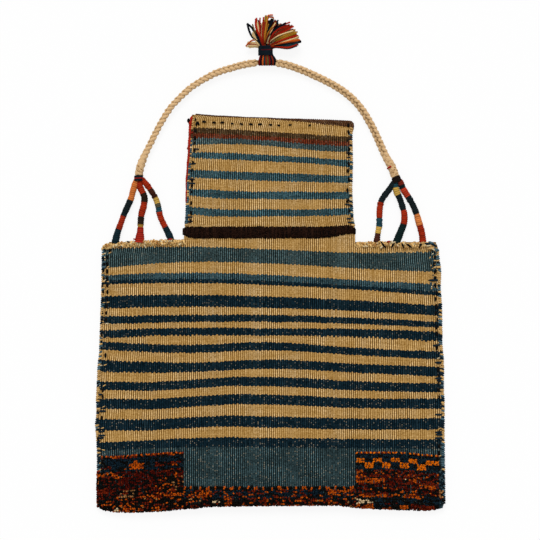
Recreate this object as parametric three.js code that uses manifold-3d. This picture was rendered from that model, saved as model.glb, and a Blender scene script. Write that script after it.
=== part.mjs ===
// Nomad salt bag: one striped strip of wool cloth folded at its foot and overcast along its sides,
// with a narrower neck, a knotted pile border, and a plaited carrying cord on six wrapped legs.
// It lies on its back: +X runs across the weave, +Y to the mouth, +Z up through the front.
import * as THREE from "three";
import { mergeVertices } from "three/addons/utils/BufferGeometryUtils.js";
import Module from "manifold-3d";

const wasm = await Module();
wasm.setup();

// Driving dimensions, in millimetres. Heights along Y are counted from the shoulder line.
const clearance = 0.3;
const bodyWidthTop = 374;
const bodyWidthFoot = 383;
const bodyHeight = 290;
const cornerRadius = 11;
const neckWidthTop = 182;
const neckWidthFoot = 190;
const neckHeight = 137;
const neckShift = -1.5;
const clothThickness = 2.8;
const weftRelief = 0.5;
const seamGap = 0.4;
const pocketGap = 9;
const mouthGap = 7.5;
const foldGap = 6.5;
const shoulderEase = 90;
const foldEase = 80;
const bandFoot = 5;
const bandHeight = 11.5;
const bandEdge = 0.6;
const bandRise = 2.4;
const bandTwist = 8;
const pileHeight = 4;
const tuftRelief = 1.5;
const pileStripHeight = 20;
const pileBlockHeight = 55;
const knotPitch = 11;
const overcastReach = 5;
const overcastThread = 1.8;
const overcastPitch = 13;
const edgingHeight = 4.4;
const edgingFoot = 2.4;
const edgingLoop = 5.5;
const hemDepth = 5;
const hemPitch = 21;
const hemThread = 1;
const pipingDiameter = 2.6;
const pipingLength = 78;
const braidDiameter = 9.5;
const legDiameter = 7;
const bindingDiameter = 10.5;
const bindingLength = 6;
const tasselLoopWidth = 14;
const tasselYarn = 1.6;
const tasselSlack = 0.8;
const tasselWrapWidth = 17.6;
const tasselWrapDepth = 13.4;
const tasselWrapLength = 12;
const tasselWrapThread = 2;
const tasselStrands = 11;
const tasselStrandDiameter = 6;
const tasselShortest = 22;
const tasselLongest = 42;

// Colours of the wools.
const wool = {
  sand: new THREE.Color(0xa58450),
  slate: new THREE.Color(0x34403e),
  navy: new THREE.Color(0x10202b),
  blue: new THREE.Color(0x2d4148),
  brown: new THREE.Color(0x463220),
  rust: new THREE.Color(0x78231a),
  black: new THREE.Color(0x19100d),
  orange: new THREE.Color(0xa8551c),
  red: new THREE.Color(0x9a2a1c),
  cream: new THREE.Color(0xd7b991),
};

// The stripes from the mouth down to the shoulder, and from the shoulder down to the plain panel.
// Stray says how far the lower edge of a stripe lies above its mid height
// at the left edge, the left quarter, the right quarter and the right edge.
const mouthStray = [4.4, 2.4, -1.2, -3];
const neckStripes = [
  { yarn: "sand", width: 14, stray: [4.3, 2.2, -1.3, -3.4] },
  { yarn: "brown", width: 6.6, stray: [4.2, 2.2, -1.5, -4] },
  { yarn: "rust", width: 4.2, stray: [4.2, 2.2, -1.6, -4.4] },
  { yarn: "slate", width: 5.3, stray: [4.2, 2.1, -1.8, -4.8] },
  { yarn: "sand", width: 10.8, stray: [4.1, 2, -2.4, -5.2] },
  { yarn: "blue", width: 6.8, stray: [4.1, 2, -2.2, -4.6] },
  { yarn: "sand", width: 12, stray: [4, 1.9, -1.9, -3.9] },
  { yarn: "blue", width: 9.4, stray: [4.1, 2, -1.2, -2] },
  { yarn: "sand", width: 12.1, stray: [4.2, 2, -0.5, -0.3] },
  { yarn: "blue", width: 7.4, stray: [3.9, 1.8, -0.5, 0.4] },
  { yarn: "sand", width: 11.7, stray: [3.6, 1.6, -0.4, 1.1] },
  { yarn: "blue", width: 7.9, stray: [2, 0.6, -0.3, 1.4] },
];
const shoulderStray = [0, 0, 0, 0];
const bodyStripes = [
  { yarn: "sand", width: 8, stray: [-0.5, 3, -3.5, -1.6] },
  { yarn: "slate", width: 14.6, stray: [-6.6, 1.6, -5.5, -8.8] },
  { yarn: "sand", width: 12.9, stray: [-0.3, 2.2, -5.8, -10.8] },
  { yarn: "slate", width: 6.3, stray: [0.4, 2.2, -5.2, -11.2] },
  { yarn: "navy", width: 5.5, stray: [1.1, 2.1, -4.7, -11.5] },
  { yarn: "sand", width: 11.8, stray: [0, 1.8, -4.4, -9.9] },
  { yarn: "navy", width: 12.3, stray: [-1.1, 1.5, -4, -8.8] },
  { yarn: "sand", width: 8.6, stray: [-1.4, 0, -3.1, -7.7] },
  { yarn: "navy", width: 7.5, stray: [-2.1, 0, -2.1, -6.4] },
  { yarn: "sand", width: 7.4, stray: [-1.9, 0.9, -0.8, -3.9] },
  { yarn: "navy", width: 7.5, stray: [-2.6, 0.7, -1.2, -6.4] },
  { yarn: "sand", width: 7.5, stray: [0, -3.4, -6, -10.3] },
  { yarn: "navy", width: 8.7, stray: [0, -2.9, -5, -9.8] },
  { yarn: "sand", width: 10.6, stray: [-0.7, -3.5, -4.7, -7.9] },
  { yarn: "navy", width: 9.4, stray: [-3.5, -3.6, -4.6, -8.7] },
  { yarn: "sand", width: 10, stray: [-5.1, -3.6, -5.2, -6.7] },
  { yarn: "navy", width: 10.2, stray: [-4.1, -2.6, -4.8, -6.6] },
  { yarn: "sand", width: 9.6, stray: [-4.8, -2.6, -4.3, -4.6] },
  { yarn: "navy", width: 9.6, stray: [-4.8, -2.5, -3.5, -4.4] },
  { yarn: "sand", width: 12.9, stray: [-2.9, -1.1, -2.5, -2.5] },
  { yarn: "navy", width: 12.5, stray: [-2.6, -0.4, -2, -2.2] },
  { yarn: "sand", width: 11.8, stray: [-5.5, -0.4, -1.4, -2.4] },
  { yarn: "navy", width: 9.5, stray: [-4.4, -0.4, -1.2, -2.2] },
];
const footStray = [-6, -2.7, -1.9, -4.4];

// The carrying cord, as points across and up from the middle of the shoulder line.
const braidRoute = [
  [-145.2, 79], [-143.5, 86], [-140.8, 93], [-132, 110], [-122.7, 127.6], [-112.2, 145.2],
  [-100.7, 158.4], [-85.8, 171.6], [-63.3, 184.8], [-44, 191.6], [-24, 196.4], [-5.5, 198],
  [13, 196.4], [29, 191.6], [45.7, 184.8], [72, 171.6], [89.7, 158.4], [101.2, 145.2],
  [111.7, 127.6], [119.9, 110], [127.6, 93], [132.8, 85], [136.4, 77],
];
const tasselPoint = 11;
const leftBinding = [-145.2, 70.2];
const rightBinding = [136.4, 68.8];
const legRoutes = {
  leg_left_outer: [
    [-152.2, 55.5], [-154, 48.4], [-157.9, 39.6], [-161.7, 30.8], [-165, 22], [-170, 10],
  ],
  leg_left_middle: [
    [-145.2, 61], [-142, 54], [-139.6, 48.4], [-140.3, 39.6], [-142.5, 30.8], [-143.6, 22], [-145.2, 10],
  ],
  leg_left_inner: [
    [-136.2, 63], [-132, 57.2], [-127, 48.4], [-123.8, 39.6], [-121.5, 27], [-110.6, 10],
  ],
  leg_right_inner: [
    [128.4, 56], [122.7, 48.4], [120.5, 39.6], [119.4, 30.8], [119.4, 22], [117.2, 10],
  ],
  leg_right_middle: [
    [136.4, 60], [138.8, 54], [141.9, 48.4], [145.2, 39.6], [146.9, 30.8], [146.3, 22], [139.7, 10],
  ],
  leg_right_outer: [
    [145.6, 58.2], [152.4, 48.4], [156.8, 39.6], [160, 30.8], [162.8, 22], [166.7, 10],
  ],
};

const { lerp, smoothstep } = THREE.MathUtils;
const bag = new THREE.Group();
const cords = new THREE.Group();

function addPiece(group, name, geometry, colour, roughness) {
  const vertexColors = geometry.hasAttribute("color");
  const material = new THREE.MeshStandardMaterial({ color: colour, roughness, metalness: 0, vertexColors });
  const mesh = new THREE.Mesh(geometry, material);
  mesh.name = name;
  group.add(mesh);
}

// Outline of the cloth and the room between its two layers.

function bodyHalf(y) {
  return lerp(bodyWidthTop, bodyWidthFoot, smoothstep(-y, 0, bodyHeight)) / 2;
}

function neckHalf(y) {
  return lerp(neckWidthFoot, neckWidthTop, smoothstep(y, 0, neckHeight)) / 2;
}

function layerGap(x, y) {
  const widening = smoothstep(-y, 0, shoulderEase);
  const openHalf = lerp(neckHalf(y), bodyHalf(y), widening);
  const middle = lerp(neckShift, 0, widening);
  const below = lerp(foldGap, pocketGap, smoothstep(y + bodyHeight, 0, foldEase));
  const rise = y > 0 ? lerp(pocketGap, mouthGap, smoothstep(y, 0, neckHeight)) : below;
  const across = (x - middle) / openHalf;
  return seamGap + rise * Math.max(0, 1 - across * across);
}

function frontMiddle(x, y) {
  return 1.5 * clothThickness + layerGap(x, y);
}

// Offset from the middle of the cloth at which a piece sits on the front without touching it.
const seat = clothThickness / 2 + weftRelief + clearance;

function strayAt(stray, across) {
  const [left, leftQuarter, rightQuarter, right] = stray;
  const heights = [left, leftQuarter, 0, rightQuarter, right];
  const place = THREE.MathUtils.clamp((across + 1) * 2, 0, 4);
  const index = Math.min(3, Math.floor(place));
  return lerp(heights[index], heights[index + 1], place - index);
}

// Middle of the fold at the foot: its radius, and how high it lies with its rounded corners.

function foldRadius(x) {
  return (clothThickness + layerGap(x, -bodyHeight)) / 2;
}

function foldHeight(x) {
  const half = bodyHalf(-bodyHeight);
  const inCorner = Math.max(0, Math.abs(x) - half + cornerRadius);
  const rounding = cornerRadius - Math.sqrt(Math.max(0, cornerRadius ** 2 - inCorner ** 2));
  const outside = foldRadius(x) + seat + pileHeight;
  return -bodyHeight + outside + rounding + strayAt(footStray, x / half);
}

// Places near a side edge at which the rounded corner is followed, from the edge inwards.

function cornerPlaces(half) {
  return [half, half - 0.3 * cornerRadius, half - cornerRadius];
}

function aroundFold(x, angle, offset) {
  const radius = foldRadius(x);
  const reach = radius + offset;
  const middle = clothThickness / 2 + radius;
  return [x, foldHeight(x) - reach * Math.sin(angle), middle + reach * Math.cos(angle)];
}

// Closed patch of cloth: cells between an outer and an inner face, with a rim where a cell has no neighbour.

function skin(rowCount, columnCount, place, isFilled, tint) {
  const positions = [];
  const colours = [];
  const hasCell = (row, column) =>
    row >= 0 && row < rowCount && column >= 0 && column < columnCount && isFilled(row, column);
  const addQuad = (corners, colour) => {
    for (const corner of [0, 1, 2, 0, 2, 3]) {
      positions.push(...corners[corner]);
      colours.push(colour.r, colour.g, colour.b);
    }
  };
  for (let row = 0; row < rowCount; row++) {
    for (let column = 0; column < columnCount; column++) {
      if (!hasCell(row, column)) continue;
      const corners = [[row, column], [row + 1, column], [row + 1, column + 1], [row, column + 1]];
      const outer = corners.map(([r, c]) => place(r, c, true));
      const inner = corners.map(([r, c]) => place(r, c, false));
      const colour = tint(row, column);
      addQuad(outer, colour);
      addQuad([...inner].reverse(), colour);
      const neighbours = [[row, column - 1], [row + 1, column], [row, column + 1], [row - 1, column]];
      neighbours.forEach(([r, c], side) => {
        if (hasCell(r, c)) return;
        const next = (side + 1) % 4;
        addQuad([outer[next], outer[side], inner[side], inner[next]], colour);
      });
    }
  }
  const geometry = new THREE.BufferGeometry();
  geometry.setAttribute("position", new THREE.Float32BufferAttribute(positions, 3));
  geometry.setAttribute("color", new THREE.Float32BufferAttribute(colours, 3));
  geometry.computeVertexNormals();
  return geometry;
}

// The cloth: one strip of warp-ribbed wool, from the front mouth down, round the fold and up the back.
// Its back is a mesh of its own, so that the pocket between the two layers stays open.

function stackStripes(stripes, top, length, kept, firstStray, restYarn) {
  const lines = [];
  let depth = 0;
  let stray = firstStray;
  for (const stripe of stripes) {
    if (depth + stripe.width > length - kept) break;
    lines.push({ y: top - depth, stray, yarn: stripe.yarn });
    depth += stripe.width;
    stray = stripe.stray;
  }
  lines.push({ y: top - depth, stray, yarn: restYarn });
  return lines;
}

const neckKept = bandFoot + bandHeight;
const neckLines = stackStripes(neckStripes, neckHeight, neckHeight, neckKept, mouthStray, "sand");
const bodyLines = stackStripes(bodyStripes, 0, bodyHeight, pileBlockHeight, shoulderStray, "slate");
const weftLines = [...neckLines, ...bodyLines];

function frontRows() {
  const rows = [];
  weftLines.forEach((line, index) => {
    rows.push({ ...line, swell: 0 });
    const next = weftLines[index + 1] ?? { y: -bodyHeight + pileStripHeight, stray: footStray };
    if (line.yarn === "sand") return;
    const stray = line.stray.map((height, place) => (height + next.stray[place]) / 2);
    rows.push({ y: (line.y + next.y) / 2, stray, yarn: line.yarn, swell: weftRelief });
  });
  return rows;
}

function foldRows() {
  const steps = 6;
  return Array.from({ length: steps + 1 }, (_, step) => ({
    angle: (Math.PI * step) / steps,
    lift: 0,
    yarn: "slate",
  }));
}

function backRows() {
  const rows = weftLines.map((line, index) => ({
    y: line.y,
    isBack: true,
    yarn: weftLines[index - 1]?.yarn,
  }));
  return [{ angle: Math.PI, lift: clearance, yarn: "slate" }, ...rows.reverse()];
}

function clothGeometry(rows) {
  const isNeck = (row) => row.y > 0;
  const neckFirst = 4;
  const neckLast = 7;

  const columnsAt = (y) => {
    const half = bodyHalf(y);
    const neck = neckHalf(y);
    const side = [...cornerPlaces(half), (half - cornerRadius + neck) / 2];
    const middle = [-1, -0.5, 0, 0.5, 1].map((share) => neckShift + share * neck);
    return [...side.map((x) => -x), ...middle, ...side.reverse()];
  };
  const placeInFold = (row, level, offset) => {
    const [x, y, z] = aroundFold(level, row.angle, offset);
    return [x, y + row.lift, z];
  };
  const place = (rowIndex, column, isOuter) => {
    const row = rows[rowIndex];
    const level = columnsAt(row.y ?? -bodyHeight)[column];
    const half = clothThickness / 2;
    if (row.angle !== undefined) return placeInFold(row, level, isOuter ? half : -half);
    if (row.isBack) return [level, row.y, isOuter ? 0 : clothThickness];
    const width = isNeck(row) ? neckHalf(row.y) : bodyHalf(row.y);
    const y = row.y + strayAt(row.stray, level / width);
    const x = columnsAt(y)[column];
    return [x, y, frontMiddle(x, y) + (isOuter ? half + row.swell : -half)];
  };
  const isFilled = (row, column) => {
    const inNeck = isNeck(rows[row]) || isNeck(rows[row + 1]);
    return !inNeck || (column >= neckFirst && column <= neckLast);
  };
  return skin(rows.length - 1, 12, place, isFilled, (row) => wool[rows[row].yarn]);
}

addPiece(bag, "bag_cloth", clothGeometry([...frontRows(), ...foldRows()]), 0xffffff, 0.95);
addPiece(bag, "bag_cloth_back", clothGeometry(backRows()), 0xffffff, 0.95);

// The dark band across the foot of the neck: a twisted bundle of wool lying proud of the weave.

function bandGeometry() {
  const profile = [0, 0.75, 1, 0.75, 0];
  const twists = Math.round(neckWidthFoot / bandTwist);
  const place = (row, column, isOuter) => {
    const y = bandFoot + bandHeight * (1 - row / (profile.length - 1));
    const x = neckShift + neckHalf(y) * ((2 * column) / twists - 1);
    const twist = column % 2 ? 0.8 : 1;
    const rise = isOuter ? bandEdge + bandRise * profile[row] * twist : 0;
    return [x, y, frontMiddle(x, y) + seat + rise];
  };
  return skin(profile.length - 1, twists, place, () => true, () => wool.black);
}

addPiece(bag, "neck_band", bandGeometry(), 0xffffff, 0.95);

// The knotted pile: two blocks at the corners and a strip along the fold, turned under the foot.

function pileGeometry() {
  const knotCells = 6;
  const half = bodyHalf(-bodyHeight);
  const corner = cornerPlaces(half);
  const left = neckShift - neckWidthFoot / 2;
  const right = neckShift + neckWidthFoot / 2;
  const spread = (from, to) =>
    Array.from({ length: knotCells }, (_, index) => lerp(from, to, (index + 1) / knotCells));
  const leftBlock = [...corner.map((x) => -x), ...spread(cornerRadius - half, left)];
  const rightBlock = [...spread(right, half - cornerRadius), ...corner.slice(0, 2).reverse()];
  const columns = [...leftBlock, ...spread(left, right), ...rightBlock];
  const blockCells = leftBlock.length - 1;
  const stripCells = knotCells;
  const blockTop = -bodyHeight + pileBlockHeight;
  const stripTop = -bodyHeight + pileStripHeight;
  const blockKnots = Math.max(2, Math.round((pileBlockHeight - pileStripHeight) / knotPitch));
  const blockRows = 2 * blockKnots;
  const foldAngles = [0, 0.6, 1.2, 1.9];
  const rows = [];
  for (let row = 0; row <= blockRows; row++) rows.push({ y: lerp(blockTop, stripTop, row / blockRows) });
  for (const angle of foldAngles) rows.push({ angle });

  const place = (rowIndex, column, isOuter) => {
    const row = rows[rowIndex];
    const x = columns[column];
    const height = (rowIndex + column) % 2 ? pileHeight - tuftRelief : pileHeight;
    const offset = seat + (isOuter ? height : 0);
    if (row.angle !== undefined) return aroundFold(x, row.angle, offset);
    const y = row.y + strayAt(footStray, x / half);
    return [x, y, frontMiddle(x, y) + offset];
  };
  const isFilled = (row, column) => {
    const inStrip = column >= blockCells && column < blockCells + stripCells;
    return !inStrip || row >= blockRows;
  };
  const tint = (row, column) => {
    if (row === 0) return wool.orange;
    if ((row + column) % 2) return row < blockRows / 2 ? wool.navy : wool.black;
    return row < blockRows / 2 ? wool.orange : wool.rust;
  };
  return skin(rows.length - 1, columns.length - 1, place, isFilled, tint);
}

addPiece(bag, "pile_border", pileGeometry(), 0xffffff, 1);

// The overcast edges: navy and sand yarn whipped over the front edge and down the outside of both layers.

function overcastGeometry(side, edgeAt, yTop, yFoot) {
  const stitches = Math.max(2, Math.round((yTop - yFoot) / overcastPitch));
  const rowCount = 2 * stitches;
  const place = (row, column, isOuter) => {
    const y = lerp(yTop, yFoot, row / rowCount);
    const edge = edgeAt(y);
    const crest = row % 2 ? 1 : 0.5;
    const offset = clearance + (isOuter ? overcastThread * crest : 0);
    const inside = edge - side * overcastReach;
    const insideTop = frontMiddle(inside, y) + clothThickness / 2 + weftRelief;
    const edgeTop = frontMiddle(edge, y) + clothThickness / 2 + weftRelief;
    const contour = [
      [inside, insideTop + offset],
      [edge + side * offset, edgeTop + offset],
      [edge + side * offset, edgeTop / 2],
      [edge + side * offset, 0],
    ];
    const [x, z] = contour[side > 0 ? column : contour.length - 1 - column];
    return [x, y, z];
  };
  const tint = (row) => (row % 4 < 2 ? wool.navy : wool.sand);
  return skin(rowCount, 3, place, () => true, tint);
}

const pileTop = -bodyHeight + pileBlockHeight + Math.max(...footStray, 0);
const bandTop = bandFoot + bandHeight;
for (const [hand, side] of [["left", -1], ["right", 1]]) {
  const bodyEdge = (y) => side * bodyHalf(y);
  const neckEdge = (y) => neckShift + side * neckHalf(y);
  const sides = overcastGeometry(side, bodyEdge, -clearance, pileTop + clearance);
  const neck = overcastGeometry(side, neckEdge, neckHeight, bandTop + clearance);
  addPiece(bag, `side_overcast_${hand}`, sides, 0xffffff, 0.95);
  addPiece(bag, `neck_overcast_${hand}`, neck, 0xffffff, 0.95);
}

// The shoulder edgings: a row of sand loops that closes both layers beside the neck.

function edgingGeometry(start, end) {
  const loops = Math.max(3, Math.round((end - start) / edgingLoop));
  const loop = (end - start) / loops;
  const low = clearance + edgingFoot;
  const outline = new THREE.Shape();
  outline.moveTo(start, clearance);
  outline.lineTo(end, clearance);
  outline.lineTo(end, low);
  for (let index = loops - 1; index >= 0; index--) {
    const middle = start + (index + 0.5) * loop;
    outline.quadraticCurveTo(middle, 2 * (clearance + edgingHeight) - low, start + index * loop, low);
  }
  const depth = 2 * clothThickness + seamGap;
  return new THREE.ExtrudeGeometry(outline, { depth, bevelEnabled: false, curveSegments: 3 });
}

const leftShoulder = edgingGeometry(-bodyWidthTop / 2, neckShift - neckWidthFoot / 2 - clearance);
const rightShoulder = edgingGeometry(neckShift + neckWidthFoot / 2 + clearance, bodyWidthTop / 2);
addPiece(bag, "shoulder_edging_left", leftShoulder, wool.sand, 0.95);
addPiece(bag, "shoulder_edging_right", rightShoulder, wool.sand, 0.95);

// Round threads and cords.

function tube(path, diameter, sides, steps) {
  const corners = Array.from({ length: sides }, (_, index) => {
    const angle = (2 * Math.PI * index) / sides;
    return new THREE.Vector2(Math.cos(angle), Math.sin(angle)).multiplyScalar(diameter / 2);
  });
  const section = new THREE.Shape(corners);
  return new THREE.ExtrudeGeometry(section, { extrudePath: path, steps, bevelEnabled: false });
}

function smoothPath(points) {
  return new THREE.CatmullRomCurve3(points.map((point) => new THREE.Vector3(...point)));
}

// The black running stitch below the mouth, and the red piping down the left edge of the neck.

const hemY = neckHeight - hemDepth;
const hemHalf = neckHalf(hemY) - overcastReach - 2 * clearance - hemThread;
const hemStitches = Math.round((2 * hemHalf) / hemPitch);
const hemPoints = Array.from({ length: 2 * hemStitches + 1 }, (_, index) => {
  const x = lerp(-hemHalf, hemHalf, index / (2 * hemStitches));
  const y = hemY + strayAt(mouthStray, x / hemHalf);
  const arch = index % 2 ? hemThread : 0;
  return [neckShift + x, y, frontMiddle(neckShift + x, y) + seat + hemThread / 2 + arch];
});
const hemGeometry = tube(smoothPath(hemPoints), hemThread, 5, 4 * hemStitches);
addPiece(bag, "mouth_hem_thread", hemGeometry, wool.black, 0.9);

const pipingPoints = [0, 0.5, 1].map((share) => {
  const y = neckHeight - share * pipingLength;
  const x = neckShift - neckHalf(y);
  const overcastTop = frontMiddle(x, y) + seat + overcastThread;
  return [x, y, overcastTop + clearance + pipingDiameter / 2];
});
const pipingGeometry = tube(smoothPath(pipingPoints), pipingDiameter, 6, 8);
addPiece(bag, "neck_piping_left", pipingGeometry, wool.red, 0.9);

// The carrying cord: a plaited cream braid, bound at each end to three legs that stand on the shoulders.
// It lies on the ground beside the bag, and rises a little where the tassel's yarn passes under it.

const loopInside = braidDiameter / 2 + tasselSlack;
const loopOutside = loopInside + tasselYarn;
const braidHeight = braidDiameter / 2;

const braidPoints = braidRoute.map(([x, y], index) => {
  const nearTassel = 1 - smoothstep(Math.abs(index - tasselPoint), 1, 4);
  return [x, y, lerp(braidHeight, loopOutside, nearTassel)];
});
const braidStart = leftBinding[1] + bindingLength / 2 + clearance;
const braidEnd = rightBinding[1] + bindingLength / 2 + clearance;
const braidPath = smoothPath([
  [leftBinding[0], braidStart, braidHeight],
  ...braidPoints,
  [rightBinding[0], braidEnd, braidHeight],
]);
addPiece(cords, "handle_braid", tube(braidPath, braidDiameter, 10, 36), wool.cream, 0.9);

function bindingGeometry() {
  const radius = bindingDiameter / 2;
  const half = bindingLength / 2;
  const shoulder = half - bindingLength / 6;
  const narrow = 0.85 * radius;
  const profile = [
    [0, -half], [narrow, -half], [radius, -shoulder], [radius, shoulder], [narrow, half], [0, half],
  ];
  return new THREE.LatheGeometry(profile.map(([r, y]) => new THREE.Vector2(r, y)), 12);
}

for (const [hand, [x, y]] of [["left", leftBinding], ["right", rightBinding]]) {
  const geometry = bindingGeometry().translate(x, y, bindingDiameter / 2);
  addPiece(cords, `leg_binding_${hand}`, geometry, wool.navy, 0.9);
}

const legEnd = clearance + edgingHeight + clearance;
const legHeight = legDiameter / 2;
for (const [name, route] of Object.entries(legRoutes)) {
  const points = route.map(([x, y]) => [x, y, legHeight]);
  const [footX] = route[route.length - 1];
  const binding = name.includes("left") ? leftBinding : rightBinding;
  const start = binding[1] - bindingLength / 2 - clearance;
  if (name.includes("middle")) points.unshift([binding[0], start, legHeight]);
  points.push([footX, legEnd, legHeight]);
  const colour = name.includes("middle") ? wool.rust : wool.red;
  addPiece(cords, name, tube(smoothPath(points), legDiameter, 8, 9), colour, 0.9);
}

// The tassel: a hank of wool looped over the top of the braid, wrapped below its fan of loose ends.

function toSolid(geometry) {
  const bare = new THREE.BufferGeometry();
  bare.setAttribute("position", geometry.getAttribute("position"));
  bare.setIndex(geometry.index);
  const merged = mergeVertices(bare, 1e-3);
  const mesh = new wasm.Mesh({
    numProp: 3,
    vertProperties: merged.attributes.position.array,
    triVerts: new Uint32Array(merged.index.array),
  });
  return new wasm.Manifold(mesh);
}

function toGeometry(solid) {
  const { vertProperties, triVerts } = solid.getMesh();
  const geometry = new THREE.BufferGeometry();
  geometry.setAttribute("position", new THREE.BufferAttribute(new Float32Array(vertProperties), 3));
  geometry.setIndex(new THREE.BufferAttribute(new Uint32Array(triVerts), 1));
  return geometry.toNonIndexed();
}

function closedRing(inside, outside, length, sides) {
  const half = length / 2;
  const profile = [[inside, -half], [outside, -half], [outside, half], [inside, half], [inside, -half]];
  return new THREE.LatheGeometry(profile.map(([r, y]) => new THREE.Vector2(r, y)), sides);
}

const [tasselX, tasselY] = braidRoute[tasselPoint];
const wrapStart = tasselY + loopOutside + clearance;
const wrapMiddle = wrapStart + tasselWrapLength / 2;
const wrapEnd = wrapStart + tasselWrapLength;
const wrapHeight = tasselWrapDepth / 2;
const coreWidth = tasselWrapWidth - 2 * (tasselWrapThread + clearance);
const coreDepth = tasselWrapDepth - 2 * (tasselWrapThread + clearance);

function tasselGeometry() {
  const loop = closedRing(loopInside, loopOutside, tasselLoopWidth, 14);
  loop.rotateZ(Math.PI / 2).translate(tasselX, tasselY, loopOutside);
  const coreStart = tasselY + loopInside + tasselYarn / 2;
  const coreEnd = wrapEnd + tasselStrandDiameter / 2;
  const core = new THREE.CylinderGeometry(0.5, 0.5, coreEnd - coreStart, 14);
  core.scale(coreWidth, 1, coreDepth).translate(tasselX, (coreStart + coreEnd) / 2, wrapHeight);
  let hank = toSolid(loop).add(toSolid(core));
  for (let strand = 0; strand < tasselStrands; strand++) {
    const share = strand / (tasselStrands - 1);
    const angle = Math.PI * (1 - share);
    const length = lerp(tasselShortest, tasselLongest, share);
    const tip = new THREE.Vector3(Math.cos(angle), Math.sin(angle) * 0.85, 0).multiplyScalar(length);
    const root = new THREE.Vector3(tasselX, wrapEnd + tasselStrandDiameter / 2, wrapHeight);
    tip.add(root).setZ(tasselStrandDiameter / 2);
    const end = new THREE.CylinderGeometry(0.5, 0.3, root.distanceTo(tip), 6);
    end.scale(tasselStrandDiameter, 1, tasselStrandDiameter);
    const turn = new THREE.Quaternion().setFromUnitVectors(
      new THREE.Vector3(0, 1, 0),
      tip.clone().sub(root).normalize(),
    );
    const middle = root.clone().lerp(tip, 0.5);
    end.applyQuaternion(turn).translate(middle.x, middle.y, middle.z);
    hank = hank.add(toSolid(end));
  }
  return toGeometry(hank);
}

const wrap = closedRing(0.5 - tasselWrapThread / tasselWrapWidth, 0.5, tasselWrapLength, 16);
wrap.scale(tasselWrapWidth, 1, tasselWrapDepth).translate(tasselX, wrapMiddle, wrapHeight);
addPiece(cords, "tassel_yarn", tasselGeometry(), wool.red, 0.95);
addPiece(cords, "tassel_wrap", wrap, wool.navy, 0.95);

// The origin is the middle of the bag itself, without its cords, on the ground.
const box = new THREE.Box3().setFromObject(bag);
const middle = box.getCenter(new THREE.Vector3());
const saltBag = new THREE.Group();
saltBag.add(bag, cords);
bag.position.set(-middle.x, -middle.y, -box.min.z);
cords.position.copy(bag.position);

export default saltBag;
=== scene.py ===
import math

import bpy
import numpy as np
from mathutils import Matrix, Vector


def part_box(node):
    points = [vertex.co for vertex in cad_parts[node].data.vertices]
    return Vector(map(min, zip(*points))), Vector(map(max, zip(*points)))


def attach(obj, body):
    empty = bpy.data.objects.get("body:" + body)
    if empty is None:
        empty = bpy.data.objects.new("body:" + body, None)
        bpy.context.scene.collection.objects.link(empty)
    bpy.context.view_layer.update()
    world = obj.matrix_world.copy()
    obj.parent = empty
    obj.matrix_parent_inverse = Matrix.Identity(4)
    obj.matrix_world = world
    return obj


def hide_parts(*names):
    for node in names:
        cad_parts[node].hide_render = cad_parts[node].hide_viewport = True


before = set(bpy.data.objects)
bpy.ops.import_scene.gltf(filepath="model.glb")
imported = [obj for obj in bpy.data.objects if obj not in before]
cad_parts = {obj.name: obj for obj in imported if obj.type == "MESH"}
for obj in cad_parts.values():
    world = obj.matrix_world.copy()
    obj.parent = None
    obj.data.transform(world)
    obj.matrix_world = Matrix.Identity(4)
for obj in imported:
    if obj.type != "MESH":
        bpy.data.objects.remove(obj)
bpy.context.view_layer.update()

# The table and the light: the bag lies on its back on a white table, under a pale sky and one
# broad lamp beyond its top. The camera looks straight down on it.

MM = 0.001  # metres in a millimetre: every length below is in millimetres
VIEW_WIDTH = 594
VIEW_MIDDLE = (-0.55, 46.1)
EYE_HEIGHT = 3000
FRONT_HEIGHT = 9
SKY_SHARE = 0.58
LAMP_TILT = (-0.75, -0.1)
LAMP_WIDTH = 0.5
TABLE_SIDE = 6000
TABLE_DROP = 0.2
TABLE_GLOW = 0.88
WHITE = (1.0, 1.0, 1.0, 1.0)
TABLE_WHITE = (0.95, 0.95, 0.95, 1.0)


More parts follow.
